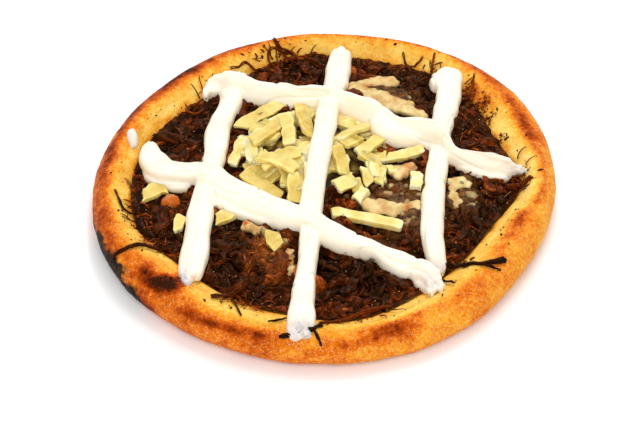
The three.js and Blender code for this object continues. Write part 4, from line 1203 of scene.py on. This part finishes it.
def mounds(spots, height):
    """Low domes on the beef: spots (N, 3) of x, y and radius."""
    lean = np.linspace(-0.47, 0.47, MOUND_RINGS) * np.pi
    parts = []
    for x, y, size in spots:
        px, py = polar(size * np.cos(lean), circle(MOUND_ANGLES))
        px, py = x + px, y + py
        pz = beef_top(px, py) + 0.35 + height * size * np.sin(lean)
        parts.append(lathe(xyz(px, py, pz)))
    return parts


def melted_film():
    """Fat that ran out of the melted cheese and set over the beef as a thin uneven skin."""
    random = np.random.default_rng(61)
    spots = []
    for x, y, wide, tall, count in MELTED_FILMS:
        angle = random.uniform(0, TURN, count)
        px, py = polar(np.sqrt(random.uniform(0, 1, count)), angle)
        spots.append(xyz(x + wide * px, y + tall * py, random.uniform(1.2, 2.6, count)))
    film = fused("melted_film", mounds(np.concatenate(spots), FILM_RISE), FILM_VOXEL, MELTED_PASSES)
    points, normals = skin_of(film)
    curds = smoothstep(0.35, 0.8, noise(points, 1.5, 107) + 0.8 * noise(points, 4.2, 109))
    relief = 0.5 * curds + 0.3 * noise(points, 2.2, 105) + 0.1 * noise(points, 0.8, 106)
    points = points + normals * relief[:, None]
    move_points(film, points)
    toast = 0.4 * smoothstep(-0.2, 0.7, noise(points, 4.5, 108))
    set_attributes(film, thin=1 - 0.48 * curds, toast=toast)
    return film


def build_melted_cheese():
    material = melted_material()
    dress(melted_film(), material, "melted_cheese")
    for order, (name, lobes) in enumerate(MELTED_CHEESE.items()):
        random = np.random.default_rng(300 + order)
        spots = np.concatenate([melted_lobe(*lobe, random) for lobe in lobes])
        domes = mounds(spots, MELTED_RISE.get(name, USUAL_RISE))
        piece = fused(name + "_piece", domes, MELTED_VOXEL, MELTED_PASSES)
        points, normals = skin_of(piece)
        curds = 0.3 * noise(points, 1.9, 101) + 0.2 * noise(points, 0.9, 104)
        points = points + normals * curds[:, None]
        move_points(piece, points)
        above = points[:, 2] - beef_top(points[:, 0], points[:, 1])
        thin = 0.75 * (1 - smoothstep(0.1, 1.3, above + 0.3 * noise(points, 1.5, 102)))
        toast = MELTED_TOAST.get(name, USUAL_TOAST) + 0.7 * noise(points, 3.2, 103)
        set_attributes(piece, thin=thin, toast=toast * smoothstep(0.1, 1.1, above))
        dress(piece, material, "melted_cheese", name)


# ---- Cream cheese ----

# Each piped line's middle and half width: x, y, half width.
RIBS = {
    "cream_rib_left": [
        (-28.8, 38.6, 2.4), (-27.6, 36.6, 2.8), (-26.8, 33.6, 3), (-27.4, 28, 3.2), (-29.2, 21.9, 3.4),
        (-30.4, 13.8, 3.4), (-30.8, 6.8, 3.2), (-32, -3, 3.1), (-33.4, -10.5, 3.2), (-34.3, -21.6, 3.5),
        (-35, -30, 3.9), (-36.2, -40, 3.3),
    ],
    "cream_rib_middle": [
        (4.9, 54.3, 3), (4.6, 50, 3.3), (3.9, 44.6, 3.5), (2.6, 35, 3.3), (1.1, 25, 3.1),
        (-0.2, 9.2, 3.1), (-2.2, -4.6, 3.1), (-3.7, -15, 3), (-4, -26, 2.8), (-5.1, -38, 2.7),
        (-5.9, -47.4, 3), (-6.2, -53.5, 3.5), (-6.4, -58.2, 4), (-6.2, -61.4, 3.6),
    ],
    "cream_rib_right": [
        (35.7, 44.6, 3.8), (35.8, 41, 4.1), (35.6, 35.5, 3.6), (34.2, 26, 3.6), (32.6, 17.5, 3.1),
        (31.6, 6, 3), (30.2, -4, 3), (29.2, -14.3, 3.1), (28.8, -24, 3.2), (29.5, -32, 2.9),
        (31, -37, 2.2),
    ],
}
BANDS = {
    "cream_band_back": [
        (-32.8, 35.4, 2.1), (-32, 37.2, 2.7), (-29.8, 37.8, 2.9), (-26.4, 36.4, 2.8), (-20, 33.9, 2.7),
        (-12, 31.8, 2.9), (-4, 30, 2.9), (1, 28.2, 3), (5.4, 26.2, 3.4), (10.4, 24, 3.8),
        (14.2, 20.9, 3.4), (17.5, 17.2, 3.6), (21.7, 15, 3.7), (26.7, 14.4, 3.4), (30.8, 11.8, 2.9),
        (34.6, 7.6, 1.8), (38.4, 5, 2), (43, 3.2, 2.3), (48, 2.7, 2.3), (52.4, 3, 1.8), (56.4, 3.4, 1),
    ],
    "cream_band_front": [
        (-48.6, 14.2, 1.7), (-48.9, 10.5, 2.7), (-48.1, 6.6, 3.7), (-44.6, 2, 4.3), (-39.6, 0.7, 4.4),
        (-35, -0.2, 4), (-30.4, -4.2, 3.9), (-25, -8.4, 4.2), (-18.6, -13.4, 4.6), (-11.4, -17.4, 4.1),
        (-5, -20.4, 3.2), (0, -24.1, 2.9), (5.3, -27.4, 3), (10, -29.7, 2.5), (14.2, -31.6, 2),
        (17.4, -33.6, 2.7), (20.6, -35.2, 3.1), (24.2, -36.8, 3), (28, -39.6, 2.7), (30.6, -44, 1.7),
    ],
}
# Height of each line's start and end as shares of its full height, and width of the tips as shares.
LINE_ENDS = {
    "cream_rib_left": (0.75, 0.7, 0.5, 0.5), "cream_rib_middle": (0.9, 0.5, 0.6, 0.75),
    "cream_rib_right": (0.95, 0.45, 0.6, 0.25), "cream_band_back": (0.7, 0.3, 0.5, 0.3),
    "cream_band_front": (0.8, 0.35, 0.5, 0.35),
}
END_REACH = 9  # distance over which a line falls to the height of its end
TIP_REACH = 3.5  # distance over which a line narrows to its tip
# Folds and lips where the cream doubled over: x, y, half width and height above what lies under it.
CREAM_FOLDS = [
    [
        (13.2, 20.8, 2.6, 5.5), (15.8, 17.8, 3.4, 5.8), (19.6, 15, 3.5, 5.4), (23.6, 14.3, 3, 4.9),
        (27, 14, 2.4, 4.5),
    ],
    [(-50.8, 5, 1, 1.7), (-47.6, -0.9, 1.2, 2), (-42, -3.8, 1.2, 2.1), (-36.8, -4.2, 1.1, 2)],
    [
        (-32.6, -6.6, 1, 2), (-29, -11.6, 1.2, 2.3), (-24.4, -14.8, 1.2, 2.3), (-18, -18, 1.1, 2.2),
        (-11, -21, 0.8, 2),
    ],
    [(32.8, 42.2, 2, 4.4), (32.2, 39.4, 2.2, 4.6), (33.4, 36.4, 1.7, 4.2)],
    [(-28.6, 40.6, 1.4, 3.2), (-25, 42.2, 1.6, 3.4), (-22, 43.2, 1.1, 2.8)],
    [(-34, 34.4, 0.8, 2.2), (-34.2, 36.8, 1, 2.6), (-32.6, 39, 0.9, 2.8)],
    [(37, 3.8, 0.8, 2), (42, 1.6, 1, 2.2), (47, 0.2, 0.9, 2), (51, 0.4, 0.7, 1.8)],
    [(-20, 36, 0.8, 3.6), (-12, 34.4, 0.9, 3.7), (-5, 32.8, 0.8, 3.6)],
    [(23.6, -39.8, 1, 2), (26.6, -42, 1.1, 1.9), (28.6, -45.6, 0.9, 1.4)],
    [(-36.6, -38.6, 1.8, 2.6), (-36.4, -41.6, 1.7, 2.1), (-36.8, -43.6, 1.1, 1.4)],
]
# Where the cream tore off and is ragged: x, y, half sizes, and strength.
TORN = [
    (-6, -60.5, 5, 4, 1), (-36.5, -41, 4, 4, 1.1), (54, 2.8, 5, 3, 0.9), (30, -44.5, 4, 4, 1.3),
    (35, 43, 5, 4, 0.45), (-49, 12, 3, 4, 0.4), (31, -37, 3, 3, 0.6), (-24, 42.6, 4, 2.4, 1.1),
    (-31, 40, 5, 4, 0.5), (4.8, 54, 4, 3, 0.5),
]
# Where the cream is thin at its torn ends and a cool shade is painted on it, and where it is specked: x, y,
# half sizes, and strength.
CREAM_PAINTED_SHADE = [
    (-38, -40.6, 1.7, 4, 0.8), (-36, -43, 4, 1.6, 0.6), (-6, -60, 5, 3, 0.9), (55, 2, 4, 3, 0.5),
    (27, -43, 4, 3, 0.5), (30, -36, 3, 3, 0.5),
]
CREAM_STAINS = [(-6, -60, 6, 3, 1.0), (-36, -42, 4, 3, 0.6), (-5, -48, 3, 5, 0.4)]
# Edges where the cream lapped over itself: the route, how deep its crease is and how far the
# cream on the route's left stands higher.
CREAM_EDGES = [
    ([(17, 23.4), (14.2, 20.6), (12.8, 16.8), (13.6, 13.2), (16.6, 10.4)], 0.55, 0.75),
    ([(-3.6, 32.4), (-8, 33.2), (-14, 34), (-20.6, 35)], 0.45, -0.15),
    ([(35, 7), (40, 4.8), (46, 2.6), (52, 2.4)], 0.4, -0.2),
    ([(-46, 8.6), (-43.6, 4.4), (-39, 2.4), (-34, 1.6)], 0.3, 0.1),
    ([(-27, -5.4), (-20, -10.4), (-12.6, -14.6)], 0.3, 0.1),
]
EDGE_STEPS, EDGE_FADE = 60, 10  # points along such an edge, and those over which it fades in and out
EDGE_REACH = 5  # distance from an edge beyond which it isn't looked up
STEP_REACH, CREASE_REACH = 2.4, 0.42
CREAM_STEP = 1.1  # distance between a line's sections
CREAM_BASE_STEP = 5  # distance over which a line's underside is evened out
CREAM_MIDDLE = 0.35 * CREAM_HEIGHT
CREAM_VOXEL, CREAM_PASSES = 0.375, 2
CREAM_SIDES = 28
LINES_APART = 200  # between the places in the noise that two lines' ridges are read from
CREAM_BATCH = 4000  # points whose nearest line is looked up at once
CREAM_TOP_SOFTNESS = 0.12  # over which the highest crossing is pressed down to the solids' height
DROP_X, DROP_Y, DROP_HALF, DROP_REACH, DROP_STEPS = -54, 15, 1.5, 2.8, 14


def rounded_ends(t, share, tip):
    """1 along a bar, falling like a quarter circle over its ends to tip."""
    inwards = np.clip(np.minimum(t, 1 - t) / share, 0, 1)
    return tip + (1 - tip) * np.sqrt(1 - (1 - inwards) ** 2)


def crossing(a, b):
    """Where two routes come closest to each other."""
    p, q = (smooth_path(np.array(route)[:, :2], 240) for route in (a, b))
    gap = np.linalg.norm(p[:, None] - q[None], axis=-1)
    i, j = np.unravel_index(gap.argmin(), gap.shape)
    return (p[i] + q[j]) / 2


def line_middle(route, crossed):
    """A line's middle (steps, 3), half widths and length, over all that it lies on or crosses."""
    rough = smooth_path(np.array(route)[:, :2], 400)
    length = np.linalg.norm(np.diff(rough, axis=0), axis=1).sum()
    coarse = smooth_path(route, round(length / CREAM_BASE_STEP) + 1)
    base = support(coarse[:, 0], coarse[:, 1])
    for _ in range(2):
        padded = np.pad(base, 1, "edge")
        base = (2 * base + padded[:-2] + padded[2:]) / 4
    x, y, half = smooth_path(route, round(length / CREAM_STEP) + 1).T
    z = np.interp(np.linspace(0, 1, len(x)), np.linspace(0, 1, len(base)), base)
    if crossed:
        near = np.min([np.hypot(x - px, y - py) for px, py in crossed], axis=0)
        z = z + CREAM_CROSSING_RISE * bell(near / CREAM_CROSSING_REACH)
    return xyz(x, y, z + CREAM_MIDDLE), half, length


def cream_line(middle, half, length, seed, ends):
    """One piped line, which gets lower and narrower towards its ends."""
    start_height, end_height, start_tip, end_tip = ends
    share = np.linspace(0, 1, len(middle))
    far = share * length
    rise = start_height + (1 - start_height) * smoothstep(0, END_REACH, far)
    rise = rise * (end_height + (1 - end_height) * smoothstep(0, END_REACH, length - far))
    taper = rounded_ends(share, TIP_REACH / length, start_tip + (end_tip - start_tip) * share)
    along = xyz(far, 0)
    half = half * taper * (1 + 0.07 * noise(along, 6, seed) + 0.05 * noise(along, 2.4, seed + 1))
    height = CREAM_HEIGHT * rise * np.sqrt(taper) * (1 + 0.07 * noise(along, 4, seed + 2))
    return cream_bar(middle, half, height)


def cream_bar(middle, half, height):
    """A bar of cream: flat on top, bulging at its sides, and sunk into what it lies on."""
    points, faces, _ = bars(middle[None], half[None], 1, CREAM_SIDES, 0.72)
    x, y, z = np.moveaxis(points.reshape(len(half), CREAM_SIDES, 3), -1, 0)
    share = z - middle[:, 2:]
    base = middle[:, 2:] - CREAM_MIDDLE
    top, low = base + height[:, None], base - CREAM_SINK
    z = low + (top - low) * (0.42 + 0.58 * np.where(share > 0, share, 0.72 * share))
    return xyz(x, y, z).reshape(-1, 3), faces, {}


def cream_fold(route):
    """A short extra roll of cream along x, y, half width and height above what lies under it."""
    x, y, half, height = smooth_path(route, 4 * len(route)).T
    taper = rounded_ends(np.linspace(0, 1, len(x)), 0.3, 0.35)
    base = np.convolve(np.pad(support(x, y), 2, "edge"), np.full(5, 0.2), "valid")
    return cream_bar(xyz(x, y, base + CREAM_MIDDLE), half * taper, height * np.sqrt(taper))


def cream_material():
    mat = Shader("cream_cheese")
    colour = mat.ramp(mat.noise(5), [(0.3, 248, 234, 211), (0.7, 250, 239, 221)])
    # Painted shade: a beige tint mixed in low on the cream's sides, near what it lies on.
    colour = mat.mix(mat.attribute("warm"), colour, (250, 214, 160))
    # Painted shade: a cool bluish colour on the thin torn ends of the lines and on the drop.
    colour = mat.mix(mat.attribute("grey"), colour, (184, 183, 190))
    specks = mat.span(mat.noise(0.6, 0), 0.7, 0.78, 0, 0.8)
    colour = mat.mix(mat.math("MULTIPLY", specks, mat.attribute("stain")), colour, (120, 104, 84))
    mat.set(Base_Color=colour, Roughness=0.4, Specular_IOR_Level=0.3)
    mat.set(Subsurface_Weight=0.5, Subsurface_Radius=(3, 2.3, 1.5), Subsurface_Scale=MM)
    mat.set(Normal=mat.bump(mat.noise(1.6), 0.06))
    return mat.material


def cream_relief(points, lines):
    """Ridges along the lines, as the nozzle drew them."""
    middles = np.concatenate([np.column_stack([middle, half]) for middle, half, _ in lines])
    aheads = unit(np.concatenate([np.gradient(middle[:, :2], axis=0) for middle, _, _ in lines]))
    far = [np.arange(len(line[1])) * CREAM_STEP + LINES_APART * k for k, line in enumerate(lines)]
    runs = np.concatenate(far)
    relief = np.zeros(len(points))
    for start in range(0, len(points), CREAM_BATCH):
        batch = points[start:start + CREAM_BATCH]
        gap = batch[:, None] - middles[None, :, :3]
        owner = ((gap**2) * [1, 1, 0.5]).sum(-1).argmin(axis=1)
        x, y = gap[np.arange(len(batch)), owner, :2].T
        ahead_x, ahead_y = aheads[owner].T
        across = (ahead_x * y - ahead_y * x) / middles[owner, 3]
        place = xyz((runs[owner] + ahead_x * x + ahead_y * y) / 17, across * 1.25)
        ridges = 0.26 * noise(place * [2.4, 1.8, 1], 1, 112)
        relief[start:start + CREAM_BATCH] = ridges - 0.42 * bell(noise(place, 1, 111) / 0.06)
    return relief


def lapped(points):
    """Creases and steps at the edges where the cream lapped over itself."""
    relief = np.zeros(len(points))
    for route, depth, step in CREAM_EDGES:
        path = smooth_path(route, EDGE_STEPS)
        ahead = unit(np.gradient(path, axis=0))
        low, high = path.min(axis=0) - EDGE_REACH, path.max(axis=0) + EDGE_REACH
        near = np.flatnonzero(((points[:, :2] > low) & (points[:, :2] < high)).all(axis=1))
        gap = points[near, None, :2] - path
        closest = (gap**2).sum(-1).argmin(axis=1)
        x, y = gap[np.arange(len(near)), closest].T
        left = ahead[closest, 0] * y - ahead[closest, 1] * x
        fade = smoothstep(0, EDGE_FADE, closest)
        fade = fade * smoothstep(EDGE_STEPS - 1, EDGE_STEPS - 1 - EDGE_FADE, closest)
        apart = np.hypot(x, y)
        relief[near] += fade * step * smoothstep(-0.3, 0.3, left) * bell(apart / STEP_REACH)
        relief[near] -= fade * depth * bell(apart / CREASE_REACH)
    return relief


def build_cream():
    material = cream_material()
    routes = {**RIBS, **BANDS}
    crossings = {name: [crossing(route, rib) for rib in RIBS.values()] for name, route in BANDS.items()}
    lines = [line_middle(route, crossings.get(name)) for name, route in routes.items()]
    piped = [
        cream_line(*line, 120 + 5 * order, LINE_ENDS[name])
        for order, (name, line) in enumerate(zip(routes, lines))
    ]
    folds = [cream_fold(route) for route in CREAM_FOLDS]
    cream = fused("piped_cream_cheese", piped + folds, CREAM_VOXEL, CREAM_PASSES)
    points, normals = skin_of(cream)
    relief = cream_relief(points, lines) + lapped(points) + 0.14 * noise(points, 3.4, 113)
    rough = 0.7 * noise(points, 1.7, 114) + 0.45 * noise(points, 0.85, 115) - 0.2
    relief = relief + patches(points[:, 0], points[:, 1], TORN) * rough
    points = points + normals * relief[:, None]
    room = (CAD_BOX[1][2] / MM - points[:, 2]) / CREAM_TOP_SOFTNESS
    points[:, 2] += CREAM_TOP_SOFTNESS * (room - np.logaddexp(0, room))
    move_points(cream, points)
    x, y, z = points.T
    set_attributes(
        # Painted shade low on the cream's sides, up to 1.5 mm above what it lies on.
        cream, warm=0.5 * (1 - smoothstep(0.2, 1.5, z - support(x, y))),
        # Painted cool shade at the thin torn ends; the stains are real specks.
        grey=0.9 * patches(x, y, CREAM_PAINTED_SHADE), stain=patches(x, y, CREAM_STAINS),
    )
    dress(cream, material, "cream", *routes)
    t = np.linspace(0, 1, DROP_STEPS)
    x, y = DROP_X + 0.8 * (t - 0.5), DROP_Y - 2 * DROP_REACH * (t - 0.5)
    size = rounded_ends(t, 0.45, 0.25)
    path = xyz(x, y, rim_top(x, y) + 0.25)[None]
    # The drop carries some of the painted cool shade all over.
    points, faces, spread = bars(path, DROP_HALF * size, 1.3 * size, 16, grey=0.4)
    points = points + 0.12 * noise(points, 1.6, 131)[:, None]
    dress(make_piece("cream_cheese_drop", points, faces, spread), material, "cream", "cream_drop")


# ---- Crumbs on the crust ----

CRUMBS = 150
CRUMB_SIDES = 7
CRUMB_SINK = 0.12


def build_crumbs():
    """Charred crumbs and shreds of spice stuck to the rim and its inner slope."""
    random = np.random.default_rng(43)
    one = (CRUMBS, 1)
    angle = random.uniform(0, TURN, one)
    share = random.triangular(0.05, 0.3, 1.0, one)
    radius = filling_radius(angle) + share * 0.75 * (outer_radius(angle) - filling_radius(angle))
    x, y = polar(radius, angle)
    size = random.gamma(2, 0.06, one) + 0.07
    heading = random.uniform(0, np.pi, one)
    along_x, along_y = polar(random.uniform(0.6, 2.2, one) * size, heading)
    t = np.linspace(-1, 1, 4)
    x, y = x + along_x * t, y + along_y * t
    wide = size * (1 - 0.55 * t**2)
    tone = random.uniform(0.1, 0.5, one)
    paths = xyz(x, y, rim_top(x, y) - CRUMB_SINK)
    points, faces, spread = bars(paths, wide, 0.8 * wide, CRUMB_SIDES, tone=tone, film=0)
    points = points + 0.05 * noise(points, 0.5, 141)[:, None]
    dress(make_piece("crust_crumbs", points, faces, spread), beef_material(), "beef")


# ---- Floor, light and camera ----

FLOOR_HALF = 4000
PHOTO_WIDTH, PHOTO_HEIGHT = 640, 427  # px
PHOTO_ORIGIN = (325, 203)  # px, where the middle of the underside lies in the picture
PIXELS_PER_MM = 3.585  # at the camera's distance
CAMERA_DISTANCE = 700
CAMERA_ELEVATION = 43.5  # degrees
SENSOR = 36

# Softboxes: name, place, side and power in watts.
SOFTBOXES = [
    ("key_light", (110, 260, 600), 340, 1.55),
    ("glint_light", (30, 430, 470), 50, 0.45),
    ("front_light", (-60, -460, 470), 420, 1.85),
]
WORLD_LIGHT = 0.71


def build_floor():
    corners = FLOOR_HALF * np.array([[-1, -1, 0], [1, -1, 0], [1, 1, 0], [-1, 1, 0]], float)
    floor = make_piece("floor", corners, [np.array([[0, 1, 2, 3]])])
    mat = Shader("pale_floor")
    mat.set(Base_Color=(250, 249, 248), Roughness=0.9, Specular_IOR_Level=0.0)
    floor.data.materials.append(mat.material)


def build_light():
    world = bpy.data.worlds.new("studio")
    world.use_nodes = True
    background = world.node_tree.nodes["Background"]
    background.inputs["Color"].default_value = (1, 1, 1, 1)
    background.inputs["Strength"].default_value = WORLD_LIGHT
    bpy.context.scene.world = world
    for name, (x, y, z), side, power in SOFTBOXES:
        lamp = bpy.data.lights.new(name, "AREA")
        lamp.size = side * MM
        lamp.energy = power
        placed(name, lamp, (x, y, z), (math.atan2(math.hypot(x, y), z), 0, math.atan2(x, -y)))


def build_camera():
    tilt = math.radians(CAMERA_ELEVATION)
    aside = (PHOTO_WIDTH / 2 - PHOTO_ORIGIN[0]) / PIXELS_PER_MM
    raised = (PHOTO_ORIGIN[1] - PHOTO_HEIGHT / 2) / PIXELS_PER_MM
    lens = bpy.data.cameras.new("camera")
    lens.sensor_width = SENSOR
    lens.sensor_fit = "HORIZONTAL"
    lens.lens = PIXELS_PER_MM * CAMERA_DISTANCE * SENSOR / PHOTO_WIDTH
    lens.clip_start = 0.01
    location = (
        aside,
        -CAMERA_DISTANCE * math.cos(tilt) + raised * math.sin(tilt),
        CAMERA_DISTANCE * math.sin(tilt) + raised * math.cos(tilt),
    )
    bpy.context.scene.camera = placed("camera", lens, location, (math.pi / 2 - tilt, 0, 0))
    bpy.context.scene.view_settings.view_transform = "Standard"


build_bread()
build_beef()
build_cheese()
build_melted_cheese()
build_cream()
build_crumbs()
build_floor()
build_light()
build_camera()
